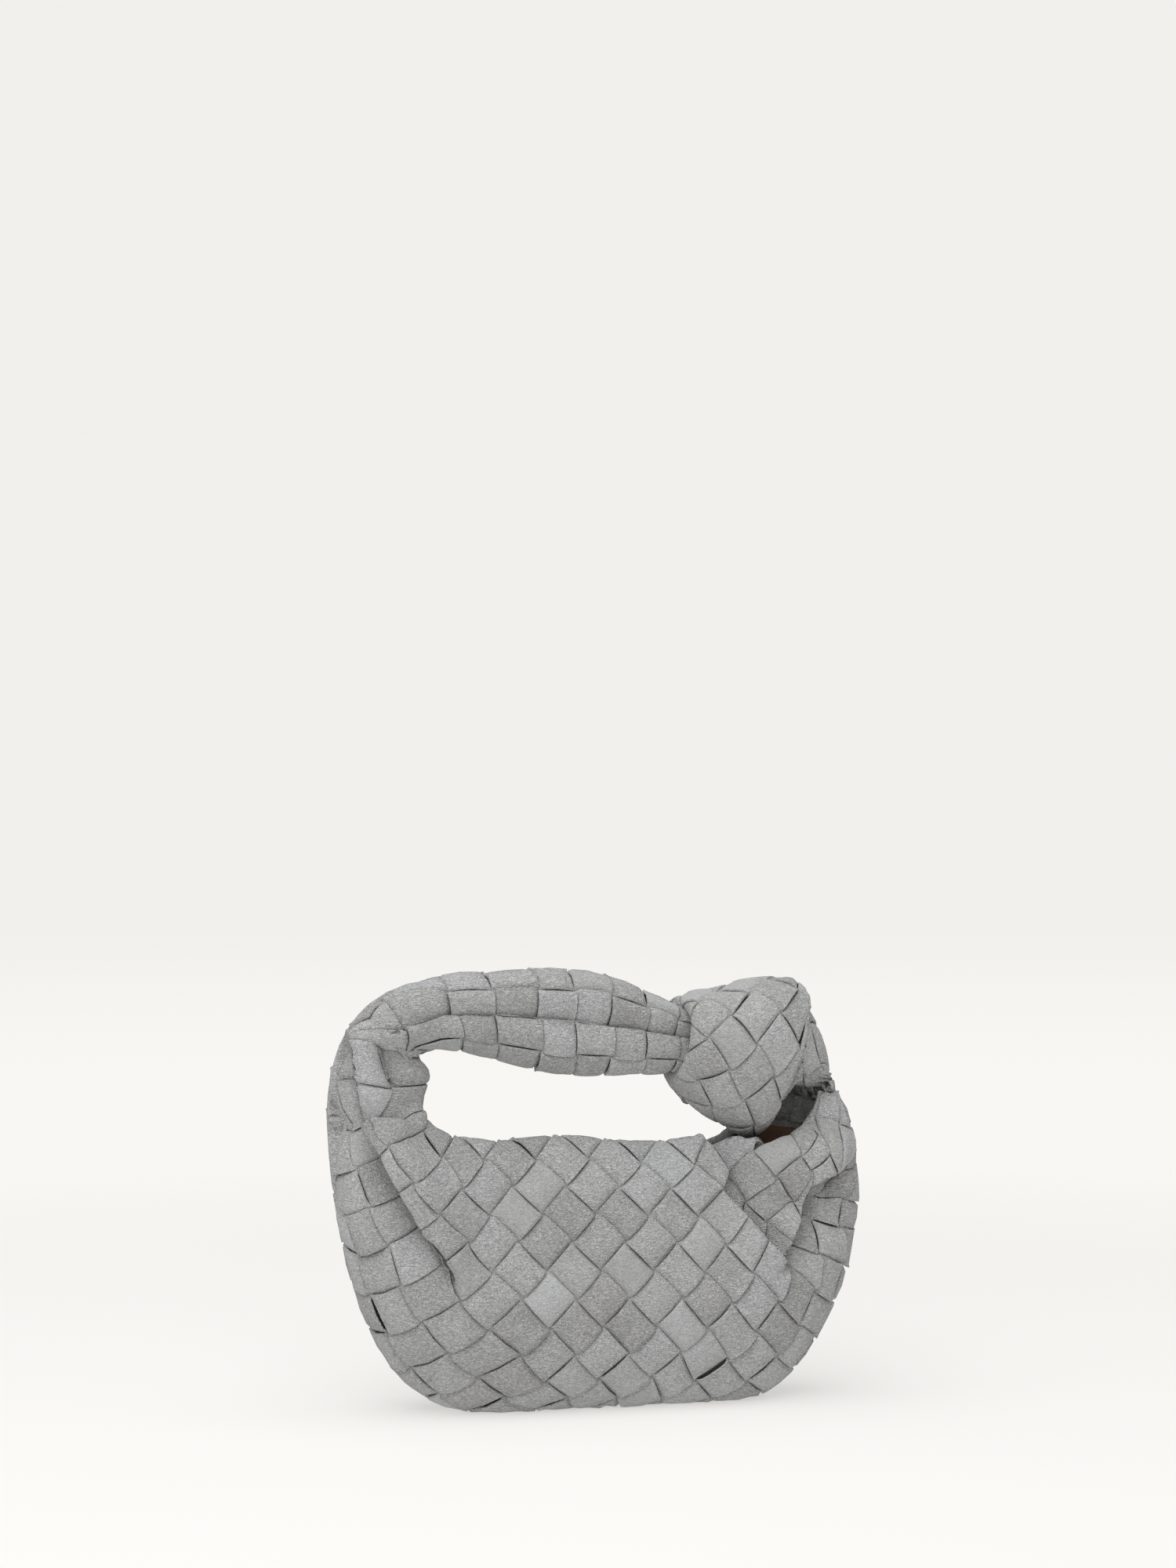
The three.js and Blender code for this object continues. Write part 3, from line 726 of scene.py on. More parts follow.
    def relax(self, cells, rounds):
        """Evens out the strips' widths with springs along the strips and weaker ones aslant."""
        names = sorted(self.spots)
        index = {k: i for i, k in enumerate(names)}
        sides, diagonals = set(), set()
        for corners in cells:
            if all(k in index for k in corners):
                i = [index[k] for k in corners]
                sides.update(tuple(sorted((i[j], i[(j + 1) % 4]))) for j in range(4))
                diagonals.update((tuple(sorted((i[0], i[2]))), tuple(sorted((i[1], i[3])))))
        sides, diagonals = np.array(sorted(sides)), np.array(sorted(diagonals))
        start, end = np.concatenate([sides, diagonals]).T
        length = np.repeat([self.width, self.width * math.sqrt(2)], [len(sides), len(diagonals)])
        stiffness = np.repeat([1.0, self.DIAGONAL_STIFFNESS], [len(sides), len(diagonals)])
        place, share = np.array([self.spots[k] for k in names]).T
        free = np.array([not self.held(k) for k in names])
        strap = np.array([self.on_strap(k) or self.on_strap(mirrored(*k)) for k in names])
        straight = np.array([min(k[1], mirrored(*k)[1]) <= STRAP_STRAIGHT for k in names])
        for _ in range(rounds):
            points = self.skin.at(place, share)
            between = points[end] - points[start]
            distance = np.maximum(np.linalg.norm(between, axis=-1), TINY)
            pull = (stiffness * (distance - length) / distance)[:, None] * between
            force = np.zeros_like(points)
            np.add.at(force, start, pull)
            np.add.at(force, end, -pull)
            force *= self.RATE
            size = np.maximum(np.linalg.norm(force, axis=-1, keepdims=True), TINIEST)
            force *= np.minimum(1, self.LONGEST_MOVE / size)
            d_place, d_share = self.skin.slide(place, share, force)
            d_place = np.clip(d_place, -self.PLACE_MOVE, self.PLACE_MOVE)
            d_share = np.clip(d_share, -self.SHARE_MOVE, self.SHARE_MOVE)
            place = np.where(free & ~straight, place + d_place, place)
            place = np.clip(place, self.skin.place[0], self.skin.place[-1])
            share = np.where(free & ~strap, share + d_share, share)
            share = np.clip(share, self.skin.first_share, -self.skin.first_share)
        self.spots = {k: (place[i], share[i]) for i, k in enumerate(names)}


def front_strip_order(a, b):
    """Corners of a cell of the bag, with the strip on top running from the first to the second."""
    left, top, right, bottom = cell_corners(a, b)
    if (a + b) % 2 == 0:
        return [bottom, right, top, left]
    return [left, bottom, right, top]


# The knot's skin is sampled on a grid. Its strips lie aslant, in a wound band and in a layer behind
# it: crossings round the knot, first row, row pitch and turn of each. The layer starts on a line
# between two loops, at the top and below, and lies this deep behind the band's edge.
KNOT_STEPS_PER_LOOP = 16
KNOT_TURN_STEPS = 160
KNOT_FINE_STEPS = 720
KNOT_BANDS = [(14, 1.93, 9.07, -0.27), (10, 45.0, 9.3, 0.3)]
LAYER_TOP, LAYER_LOW = 6.6, 5.75
LAYER_DEPTH, LAYER_WIDTH, LAYER_EDGE = 4.2, 2.6, 0.08
LAYER_LAP = 0.12


class KnotSurface:
    """The knot's skin on a grid: loops from left to right, and two turns round each loop."""

    def __init__(self, inset):
        loops = len(KNOT) - 1
        self.loop = np.linspace(0, loops, loops * KNOT_STEPS_PER_LOOP + 1)
        turn = np.arange(KNOT_TURN_STEPS + 1) / KNOT_TURN_STEPS
        points = self.rings(np.linspace(0, 2 * math.pi, KNOT_FINE_STEPS + 1))
        steps = np.linalg.norm(np.diff(points, axis=1), axis=-1)
        length = np.concatenate([np.zeros((len(points), 1)), np.cumsum(steps, axis=1)], axis=1)
        ring = np.stack([
            np.stack([np.interp(turn, share, loop[:, k]) for k in range(3)], -1)
            for share, loop in zip(length / length[:, -1:], points)
        ])
        self.ring = self.sunk(ring, inset, turn)
        middle = np.linalg.norm(np.diff(self.ring[:, :-1], axis=0), axis=-1).mean(axis=1)
        self.run = np.concatenate([[0], np.cumsum(middle)])
        half = KNOT_TURN_STEPS // 2
        before, after = self.ring[:, half:-1], self.ring[:, : half + 1]
        self.points = np.concatenate([before, self.ring[:, :-1], after], axis=1)
        self.normals = grid_normals(self.points)

    def rings(self, angle):
        """Points of the plain loops at angles round them, starting at the top."""
        table = smooth_rows(KNOT, self.loop)
        top = np.stack([table[:, 0], 0 * table[:, 0], table[:, 1]], -1)[:, None]
        low = np.stack([table[:, 2], 0 * table[:, 2], table[:, 3]], -1)[:, None]
        middle = low + (top - low) * KNOT_MIDDLE
        up, aside = np.cos(angle)[None, :], np.sin(angle)[None, :]
        roundness = (KNOT_LOWER_ROUNDNESS, LAYER_LOWER_ROUNDNESS)
        lower = np.interp(self.loop, LAYER_LOOPS, roundness)
        power = 2 / np.where(up > 0, KNOT_UPPER_ROUNDNESS, lower[:, None])
        reach = np.abs(up) ** power
        points = middle + (np.where(up[..., None] > 0, top, low) - middle) * reach[..., None]
        depth = np.where(aside < 0, table[:, 4][:, None], table[:, 5][:, None])
        points[..., 1] = np.sign(aside) * depth * np.abs(aside) ** power
        return points

    def layer_line(self, turn):
        """The loop at which the layer starts, at turns round the knot."""
        upper = 0.5 + 0.5 * np.cos(2 * math.pi * np.asarray(turn))
        return LAYER_LOW + (LAYER_TOP - LAYER_LOW) * upper

    def sunk(self, ring, inset, turn):
        """The loops with the layer pressed in behind the band, sunk by an inset."""
        closed = np.concatenate([ring[:, -2:-1], ring, ring[:, 1:2]], axis=1)
        normals = grid_normals(closed)[:, 1:-1]
        past = self.loop[:, None] - self.layer_line(turn)[None, :]
        step = np.clip(past / LAYER_EDGE, 0, 1)
        depth = inset + LAYER_DEPTH * step * np.exp(-((past / LAYER_WIDTH) ** 2))
        return ring - normals * depth[..., None]

    def run_at(self, loop):
        """The run along the knot up to a loop."""
        return np.interp(loop, self.loop, self.run)

    def to_grid(self, run, turn):
        """Run along the knot and turns round it as coordinates from 0 to 1 over the grid."""
        loop = np.interp(run, self.run, self.loop)
        return np.stack([loop / self.loop[-1], (np.asarray(turn) + 0.5) / 2], -1)

    def cells(self):
        """Corner coordinates of every cell, with the strip on top from the first to the second."""
        found = []
        for band, (columns, first, pitch, phase) in enumerate(KNOT_BANDS):
            for row in range(int((self.run[-1] - first) / pitch) + 2):
                for column in range(columns):
                    if (row + column) % 2 == 0:
                        continue
                    west, south = (column - 1, row), (column, row - 1)
                    east, north = (column + 1, row), (column, row + 1)
                    order = (south, west, north, east)
                    if column % 2:
                        order = (west, north, east, south)
                    turns = np.array([(c + phase) / columns for c, _ in order])
                    runs = np.array([first + r * pitch for _, r in order])
                    edge = self.layer_line(turns)
                    start, end = self.run_at(edge - LAYER_LAP), self.run[-1]
                    if band == 0:
                        start, end = 0, self.run_at(edge + LAYER_EDGE / 2)
                    runs = np.clip(runs, start, end)
                    if np.ptp(runs) > pitch / 2:
                        found.append(self.to_grid(runs, turns))
        return found


def grid_faces(index):
    """Four-sided faces between neighbours on a grid of point numbers."""
    corners = (index[:-1, :-1], index[1:, :-1], index[1:, 1:], index[:-1, 1:])
    return np.stack(corners, -1).reshape(-1, 4)


def grid_mesh(name, points, normals):
    """A mesh over a grid of points, with its grid coordinates and normals as attributes."""
    rows, columns = points.shape[:2]
    index = np.arange(rows * columns).reshape(rows, columns)
    faces = grid_faces(index)
    mesh = bpy.data.meshes.new(name)
    mesh.from_pydata((points.reshape(-1, 3) + FRAME_SHIFT) * MM, [], faces.tolist())
    u, v = np.meshgrid(np.linspace(0, 1, rows), np.linspace(0, 1, columns), indexing="ij")
    spots = np.stack([u, v], -1).reshape(-1, 2)
    layer = mesh.uv_layers.new(name="place")
    layer.uv.foreach_set("vector", spots[faces.ravel()].astype(np.float32).ravel())
    attribute = mesh.attributes.new("outward", "FLOAT_VECTOR", "POINT")
    attribute.data.foreach_set("vector", normals.reshape(-1, 3).astype(np.float32).ravel())
    return mesh


def shell_mesh(name, outer, inner):
    """A closed wall between two grids of points of the same size."""
    rows, columns = outer.shape[:2]
    count = rows * columns
    index = np.arange(count).reshape(rows, columns)
    quads = grid_faces(index)
    faces = [quads, quads[:, ::-1] + count]
    for rim in (index[0], index[-1][::-1], index[::-1, 0], index[:, -1]):
        faces.append(np.stack([rim[:-1], rim[1:], rim[1:] + count, rim[:-1] + count], -1))
    mesh = bpy.data.meshes.new(name)
    points = np.concatenate([outer.reshape(-1, 3), inner.reshape(-1, 3)])
    mesh.from_pydata((points + FRAME_SHIFT) * MM, [], np.concatenate(faces).tolist())
    mesh.polygons.foreach_set("use_smooth", np.ones(len(mesh.polygons), bool))
    inside = np.zeros(len(mesh.polygons), np.int32)
    inside[len(quads) : 2 * len(quads)] = 1
    mesh.polygons.foreach_set("material_index", inside)
    return mesh


def drum_mesh(name, rings):
    """A closed body from rings of points, with a point in the middle of each end."""
    count, around = rings.shape[:2]
    index = np.arange(count * around).reshape(count, around)
    nxt = np.roll(index, -1, axis=1)
    faces = np.stack([index[:-1], index[1:], nxt[1:], nxt[:-1]], -1).reshape(-1, 4).tolist()
    first, last = count * around, count * around + 1
    faces += [(first, i, j) for i, j in zip(index[0], nxt[0])]
    faces += [(last, j, i) for i, j in zip(index[-1], nxt[-1])]
    points = np.concatenate([rings.reshape(-1, 3), [rings[0].mean(axis=0), rings[-1].mean(axis=0)]])
    mesh = bpy.data.meshes.new(name)
    mesh.from_pydata((points + FRAME_SHIFT) * MM, [], faces)
    mesh.polygons.foreach_set("use_smooth", np.ones(len(mesh.polygons), bool))
    return mesh


def link(name, mesh):
    """An object at the origin that shows a mesh."""
    piece = bpy.data.objects.new(name, mesh)
    bpy.context.scene.collection.objects.link(piece)
    return piece


# How nodes are set out in a tree
NODE_COLUMNS, NODE_WIDTH, NODE_HEIGHT = 12, 220, 260


class NodeTree:
    """Short calls for building a node tree."""

    def __init__(self, tree):
        self.tree = tree
        self.count = 0

    def add(self, kind, inputs=None, **settings):
        """A node with its settings, its inputs linked to sockets or set to values."""
        node = self.tree.nodes.new(kind)
        for key, value in settings.items():
            setattr(node, key, value)
        for key, value in (inputs or {}).items():
            socket = node.inputs[key]
            if isinstance(value, bpy.types.NodeSocket):
                self.tree.links.new(value, socket)
            else:
                socket.default_value = value
        row, column = divmod(self.count, NODE_COLUMNS)
        node.location = (NODE_WIDTH * column, -NODE_HEIGHT * row)
        self.count += 1
        return node

    def math(self, operation, *values):
        """The result of a math node on sockets and numbers."""
        return self.add("ShaderNodeMath", dict(enumerate(values)), operation=operation).outputs[0]

    def vector(self, operation, *values):
        """The result of a vector math node."""
        inputs = dict(enumerate(values))
        return self.add("ShaderNodeVectorMath", inputs, operation=operation).outputs[0]

    def scaled(self, vector, factor):
        """A vector times a number."""
        inputs = {"Vector": vector, "Scale": factor}
        return self.add("ShaderNodeVectorMath", inputs, operation="SCALE").outputs[0]

    def swing(self, value, amount, base):
        """A base plus how far a value lies from one half, times an amount."""
        return self.math("MULTIPLY_ADD", self.math("SUBTRACT", value, 0.5), amount, base)

    def noise(self, place, settings):
        """The value of a noise texture at a place."""
        return self.add("ShaderNodeTexNoise", {"Vector": place, **settings}).outputs[0]

    def mix(self, share, first, second, blend="MIX"):
        """A mix of two colours."""
        inputs = {"Factor": share, "A": first, "B": second}
        node = self.add("ShaderNodeMix", inputs, data_type="RGBA", blend_type=blend)
        return node.outputs["Result"]

    def attribute(self, name):
        """A vector attribute of the geometry."""
        inputs = {"Name": name}
        node = self.add("GeometryNodeInputNamedAttribute", inputs, data_type="FLOAT_VECTOR")
        return next(socket for socket in node.outputs if socket.enabled)


def curve_points(node, points):
    """Sets the points of a float curve node."""
    curve = node.mapping.curves[0]
    while len(curve.points) > 2:
        curve.points.remove(curve.points[-1])
    for point, (x, y) in zip(curve.points, (points[0], points[-1])):
        point.location = (x, y)
    for x, y in points[1:-1]:
        curve.points.new(x, y)
    for point in curve.points:
        point.handle_type = "AUTO_CLAMPED"
    node.mapping.update()


# Where the faces of a pad are set, from its middle to its end, and its height there: along the
# strip, where its end goes under the next strip, and across it, up to the cut edge. Samples keep
# just inside the base's grid. Then the noise that its cut edges waver by and its face is uneven by,
# and how rare the strongest curls of its cut edges are.
SPREAD_ALONG = [(0, 0), (0.333, 0.66), (0.667, 0.88), (1, 1)]
SPREAD_ACROSS = [(0, 0), (0.333, 0.6), (0.667, 0.93), (1, 1)]
PAD_ALONG = [(0, 1), (0.5, 0.97), (0.68, 0.88), (0.81, 0.65), (0.893, 0.34), (1, 0)]
PAD_ACROSS = [(0, 1), (0.8, 1), (0.94, 0.97), (1, 0.8)]
GRID_EDGE = 0.0005
WAVER_NOISE = {"Scale": 260.0, "Detail": 2.0}
WOBBLE_NOISE = {"Scale": 90.0, "Detail": 2.0}
CURL_RARITY = 3


def woven_pads_tree():
    """A tree that lays one pad of strip on every crossing of a lattice over a base surface."""
    tree = bpy.data.node_groups.new("woven pads", "GeometryNodeTree")
    face = tree.interface
    face.new_socket("Crossings", in_out="INPUT", socket_type="NodeSocketGeometry")
    face.new_socket("Base", in_out="INPUT", socket_type="NodeSocketObject")
    face.new_socket("Suede", in_out="INPUT", socket_type="NodeSocketMaterial")
    for name in ("Steps Along", "Steps Across"):
        face.new_socket(name, in_out="INPUT", socket_type="NodeSocketInt")
    for name in ("Overlap", "Gap", "Thickness", "Crown", "Dive", "Wobble", "Waver"):
        face.new_socket(name, in_out="INPUT", socket_type="NodeSocketFloat")
    face.new_socket("Pads", in_out="OUTPUT", socket_type="NodeSocketGeometry")
    t = NodeTree(tree)
    given = t.add("NodeGroupInput").outputs
    base = t.add("GeometryNodeObjectInfo", {"Object": given["Base"]}, transform_space="ORIGINAL")
    base = base.outputs["Geometry"]

    # a block of unit size on every crossing
    counts = {
        "Vertices X": given["Steps Along"],
        "Vertices Y": given["Steps Across"],
        "Vertices Z": 2,
    }
    block = t.add("GeometryNodeMeshCube", counts)
    here = t.add("GeometryNodeInputPosition").outputs[0]
    block = t.add(
        "GeometryNodeStoreNamedAttribute",
        {"Geometry": block.outputs["Mesh"], "Name": "pad", "Value": here},
        data_type="FLOAT_VECTOR",
        domain="POINT",
    )
    pads = t.add(
        "GeometryNodeInstanceOnPoints",
        {"Points": given["Crossings"], "Instance": block.outputs["Geometry"]},
    )
    pads = t.add("GeometryNodeRealizeInstances", {"Geometry": pads.outputs["Instances"]})

    # where each point of a pad lies between the corners of its cell
    pad = t.add("ShaderNodeSeparateXYZ", {"Vector": t.attribute("pad")}).outputs

    def curved(value, points):
        node = t.add("ShaderNodeFloatCurve", {"Value": value})
        curve_points(node, points)
        return node.outputs[0]

    from_middle = [t.math("MULTIPLY", t.math("ABSOLUTE", pad[k]), 2.0) for k in ("X", "Y")]
    along, across = curved(from_middle[0], SPREAD_ALONG), curved(from_middle[1], SPREAD_ACROSS)
    bow, edge = curved(along, PAD_ALONG), curved(across, PAD_ACROSS)

    def from_corner(value, sign, size):
        half = t.math("MULTIPLY", t.math("MULTIPLY", value, t.math("SIGN", sign)), 0.5)
        return t.math("MULTIPLY_ADD", half, size, 0.5)

    share_along = from_corner(along, pad["X"], t.math("MULTIPLY_ADD", given["Overlap"], 2.0, 1.0))
    share_across = from_corner(across, pad["Y"], t.math("MULTIPLY_ADD", given["Gap"], -2.0, 1.0))

    def between(first, second, share):
        step = t.vector("SUBTRACT", second, first)
        return t.vector("ADD", first, t.scaled(step, share))

    corners = [t.attribute(f"corner_{k}") for k in range(4)]

    def inside(share_across):
        near = between(corners[0], corners[1], share_along)
        far = between(corners[3], corners[2], share_along)
        spot = between(near, far, share_across)
        spot = t.vector("MAXIMUM", spot, (GRID_EDGE,) * 3)
        return t.vector("MINIMUM", spot, (1 - GRID_EDGE,) * 3)

    def sampled(value, spot):
        grid = t.attribute("place")
        inputs = {"Mesh": base, "Value": value, "Source UV Map": grid, "Sample UV": spot}
        node = t.add("GeometryNodeSampleUVSurface", inputs, data_type="FLOAT_VECTOR")
        return node.outputs["Value"]

    # the cut edges waver a little from side to side
    rough = sampled(here, inside(share_across))
    waver = t.swing(t.noise(rough, WAVER_NOISE), given["Waver"], 0.0)
    waver = t.math("MULTIPLY", waver, across)
    spot = inside(t.math("ADD", share_across, waver))
    skin = sampled(here, spot)
    outward = t.vector("NORMALIZE", sampled(t.attribute("outward"), spot))

    # its height over the skin
    height = t.math("MULTIPLY", t.math("ADD", given["Crown"], given["Dive"]), bow)
    height = t.math("SUBTRACT", height, given["Dive"])
    height = t.math("MULTIPLY_ADD", t.math("SUBTRACT", edge, 1.0), given["Thickness"], height)
    lift = t.add("ShaderNodeSeparateXYZ", {"Vector": t.attribute("lift")}).outputs
    for key, sign in (("X", -2.0), ("Y", 2.0)):
        reach = t.math("POWER", t.math("MAXIMUM", t.math("MULTIPLY", pad["Y"], sign), 0.0), 2.0)
        height = t.math("MULTIPLY_ADD", t.math("MULTIPLY", reach, lift[key]), bow, height)
    height = t.math("MULTIPLY_ADD", t.math("MULTIPLY", pad["X"], lift["Z"]), bow, height)
    height = t.swing(t.noise(skin, WOBBLE_NOISE), given["Wobble"], height)
    height = t.swing(pad["Z"], given["Thickness"], height)

    place = t.vector("ADD", skin, t.scaled(outward, height))
    parts = t.add("ShaderNodeSeparateXYZ", {"Vector": place}).outputs
    grounded = t.math("MAXIMUM", parts["Z"], 0.0)
    axes = {"X": parts["X"], "Y": parts["Y"], "Z": grounded}
    place = t.add("ShaderNodeCombineXYZ", axes).outputs[0]
    pads = t.add("GeometryNodeSetPosition", {"Geometry": pads.outputs[0], "Position": place})
    pads = t.add("GeometryNodeSetShadeSmooth", {"Geometry": pads.outputs[0]})
    dressed = {"Geometry": pads.outputs[0], "Material": given["Suede"]}
    pads = t.add("GeometryNodeSetMaterial", dressed)
    out = t.add("NodeGroupOutput")
    tree.links.new(pads.outputs[0], out.inputs["Pads"])
    return tree


def evaluated_piece(name, holder):
    """A plain mesh object from what a holder's modifiers make, without the holder."""
    graph = bpy.context.evaluated_depsgraph_get()
    mesh = bpy.data.meshes.new_from_object(holder.evaluated_get(graph), depsgraph=graph)
    mesh.name = name
    for attribute in list(mesh.attributes):
        if attribute.name.startswith("corner_") or attribute.name == "lift":
            mesh.attributes.remove(attribute)
    bpy.data.objects.remove(holder)
    return link(name, mesh)


# Each woven piece draws its own chances
SEEDS = {
    "pouch_weave": 1,
    "handle_weave": 2,
    "knot_weave": 3,
    "pouch_folds": 4,
    "handle_back": 5,
    "neck_inside": 6,
}


def woven_piece(name, base_mesh, corners, settings, steps, material, rolled=0):
    """A piece of pads over a base surface, one on each crossing, some with a rolled edge."""
    corners = np.array(corners)
    count = len(corners)
    chance = np.random.default_rng(SEEDS[name])
    mesh = bpy.data.meshes.new(name + "_crossings")
    mesh.from_pydata(np.zeros((count, 3)), [], [])
    for k in range(4):
        values = np.concatenate([corners[:, k], np.zeros((count, 1))], axis=1)
        attribute = mesh.attributes.new(f"corner_{k}", "FLOAT_VECTOR", "POINT")
        attribute.data.foreach_set("vector", values.astype(np.float32).ravel())
    curl = chance.random((count, 2)) ** CURL_RARITY * settings.edge_curl + np.array(rolled) * MM
    tilt = (chance.random((count, 1)) - 0.5) * settings.edge_curl
    lift = mesh.attributes.new("lift", "FLOAT_VECTOR", "POINT")
    values = np.concatenate([curl, tilt], axis=1)
    lift.data.foreach_set("vector", values.astype(np.float32).ravel())
    for key in ("tone", "rubbed"):
        attribute = mesh.attributes.new(key, "FLOAT", "POINT")
        attribute.data.foreach_set("value", chance.random(count).astype(np.float32))
    holder = link(name + "_crossings", mesh)
    base = link(name + "_base", base_mesh)
    tree = bpy.data.node_groups.get("woven pads") or woven_pads_tree()
    modifier = holder.modifiers.new("woven pads", "NODES")
    modifier.node_group = tree
    values = {
        "Base": base,
        "Suede": material,
        "Steps Along": steps[0] + 1,
        "Steps Across": steps[1] + 1,
        "Overlap": settings.overlap,
        "Gap": settings.gap,
        "Thickness": settings.thickness,
        "Crown": settings.crown,
        "Dive": settings.dive,
        "Wobble": settings.wobble,
        "Waver": settings.waver,
    }
    for item in tree.interface.items_tree:
        if item.in_out == "INPUT" and item.name in values:
            modifier[item.identifier] = values[item.name]
    piece = evaluated_piece(name, holder)
    bpy.data.objects.remove(base)
    return piece


def new_material(name):
    """An empty node material and its short calls."""
    material = bpy.data.materials.new(name)
    material.use_nodes = True
    material.node_tree.nodes.clear()
    return material, NodeTree(material.node_tree)


# The suede: its clouds, its curled fibres and the way they lie, its grain and the drift of its cast
# between warm and cool. Then how much the clouds, the fibres, the grain, a strip's own tone and its
# cut edge change the colour, which strips are rubbed smooth, how much nap and colour these lose,
# and the height of the nap.
CLOUD_NOISE = {"Scale": 70.0, "Detail": 3.0}
FIBRE_NOISE = {"Scale": 1300.0, "Detail": 1.0, "Roughness": 0.5, "Distortion": 1.0}
FIBRE_LIE = (0.65, 0.65, 1.35)
GRAIN_NOISE = {"Scale": 2300.0, "Detail": 3.0}
DRIFT_NOISE = {"Scale": 30.0, "Detail": 1.0}
HUE_DRIFT = 1.2
WARM_CAST = (1.008, 1.0, 0.982, 1)
COOL_CAST = (0.988, 1.0, 1.012, 1)
CLOUD_TONE, FIBRE_TONE, GRAIN_TONE, STRIP_TONE, EDGE_TONE = 0.4, 1.7, 1.4, 0.35, 0.2
EDGE_SHARPNESS = 12.0
RUBBED_FROM, RUBBED_TO = 0.84, 0.98
RUBBED_NAP, RUBBED_TINT = 0.4, 0.3
GRAIN_RELIEF, NAP_HEIGHT = 0.35, 0.0014


def suede_material(name, dark, light, rubbed, sheen):
    """Napped suede: clouds, curled fibres, a tone for each strip, and some strips rubbed smooth."""
    material, t = new_material(name)
    place = t.add("ShaderNodeTexCoord").outputs["Object"]
    cloud = t.noise(place, CLOUD_NOISE)
    fibre = t.noise(t.vector("MULTIPLY", place, FIBRE_LIE), FIBRE_NOISE)
    grain = t.noise(place, GRAIN_NOISE)
    tone = t.add("ShaderNodeAttribute", attribute_name="tone").outputs["Fac"]
    drawn = t.add("ShaderNodeAttribute", attribute_name="rubbed").outputs["Fac"]
    span = {"Value": drawn, "From Min": RUBBED_FROM, "From Max": RUBBED_TO}
    smooth = t.add("ShaderNodeMapRange", span).outputs[0]
    nap = t.math("MULTIPLY_ADD", smooth, -RUBBED_NAP, 1.0)
    pad = t.add("ShaderNodeAttribute", attribute_name="pad").outputs["Vector"]
    pad = t.add("ShaderNodeSeparateXYZ", {"Vector": pad}).outputs
    edge = t.math("ABSOLUTE", t.math("MULTIPLY", pad["Y"], 2.0))
    edge = t.math("POWER", edge, EDGE_SHARPNESS)
    flecks = t.swing(grain, GRAIN_TONE, t.swing(fibre, FIBRE_TONE, 0.0))
    value = t.swing(cloud, CLOUD_TONE, 0.5)
    value = t.math("MULTIPLY_ADD", flecks, nap, value)
    value = t.swing(tone, STRIP_TONE, value)
    value = t.math("MULTIPLY_ADD", edge, EDGE_TONE, value)
    colour = t.mix(value, dark, light)
    colour = t.mix(t.math("MULTIPLY", smooth, RUBBED_TINT), colour, rubbed)
    hue = t.swing(t.noise(place, DRIFT_NOISE), HUE_DRIFT, tone)
    colour = t.mix(1.0, colour, t.mix(hue, WARM_CAST, COOL_CAST), "MULTIPLY")
    relief = t.math("MULTIPLY", t.math("MULTIPLY_ADD", grain, GRAIN_RELIEF, fibre), nap)
    bump = t.add("ShaderNodeBump", {"Height": relief, "Strength": 1.0, "Distance": NAP_HEIGHT})
    shader = t.add("ShaderNodeBsdfPrincipled", {
        "Base Color": colour,
        "Roughness": 0.95,
        "Specular IOR Level": 0.15,
        "Sheen Weight": sheen,
        "Sheen Roughness": 0.55,
        "Normal": bump.outputs[0],
    })
    t.add("ShaderNodeOutputMaterial", {"Surface": shader.outputs[0]})
    return material


# The lining's clouds, the size of its grain and how much that changes the colour
LEATHER_NOISE = {"Scale": 45.0, "Detail": 4.0}
PEBBLE_SCALE, PEBBLE_TONE = 900.0, 0.3


def leather_material(name, dark, light):
    """Smooth lining leather with a fine pebbled grain."""
    material, t = new_material(name)
    place = t.add("ShaderNodeTexCoord").outputs["Object"]
    cloud = t.noise(place, LEATHER_NOISE)
    pebbles = {"Vector": place, "Scale": PEBBLE_SCALE}
    pebble = t.add("ShaderNodeTexVoronoi", pebbles, feature="F1").outputs["Distance"]
    value = t.math("MULTIPLY_ADD", pebble, PEBBLE_TONE, cloud)
    bump = t.add("ShaderNodeBump", {"Height": pebble, "Strength": 0.4, "Distance": 0.0003})
    shader = t.add("ShaderNodeBsdfPrincipled", {
        "Base Color": t.mix(value, dark, light),
        "Roughness": 0.6,
        "Specular IOR Level": 0.35,
        "Normal": bump.outputs[0],
    })
    t.add("ShaderNodeOutputMaterial", {"Surface": shader.outputs[0]})
    return material


def floor_material(near, lit, far):
    """White paper floor, lit behind the bag, that runs out into the background with no horizon.
    Part
    of it glows: painted light that lightens the bag's shadow on it.
    """
    material, t = new_material("studio_paper")
    place = t.add("ShaderNodeTexCoord").outputs["Object"]
    fibre = t.noise(place, PAPER_NOISE)
    bump = t.add("ShaderNodeBump", {"Height": fibre, "Strength": 0.05, "Distance": 0.0002})
    paper = t.add("ShaderNodeBsdfPrincipled", {
        "Base Color": near,
        "Roughness": 0.9,
        "Specular IOR Level": 0.1,
        "Normal": bump.outputs[0],
    })
    reach = t.add("ShaderNodeVectorMath", {0: place}, operation="LENGTH").outputs["Value"]

    def share(start, end):
        span = {"Value": reach, "From Min": start, "From Max": end}
        return t.add("ShaderNodeMapRange", span, interpolation_type="SMOOTHSTEP").outputs[0]

    # the glow is painted light: near the bag it lightens the floor and the bag's shadow on it, and
    # far off it is the even background
    fade = t.mix(share(FLOOR_LIT, FLOOR_END), lit, far)
    glow = t.add("ShaderNodeEmission", {"Color": fade, "Strength": 1.0})
    lit_share = t.math("MULTIPLY_ADD", share(FLOOR_NEAR, FLOOR_FAR), 1 - FLOOR_GLOW, FLOOR_GLOW)
    mixed = t.add("ShaderNodeMixShader", {0: lit_share, 1: paper.outputs[0], 2: glow.outputs[0]})
    t.add("ShaderNodeOutputMaterial", {"Surface": mixed.outputs[0]})
    return material
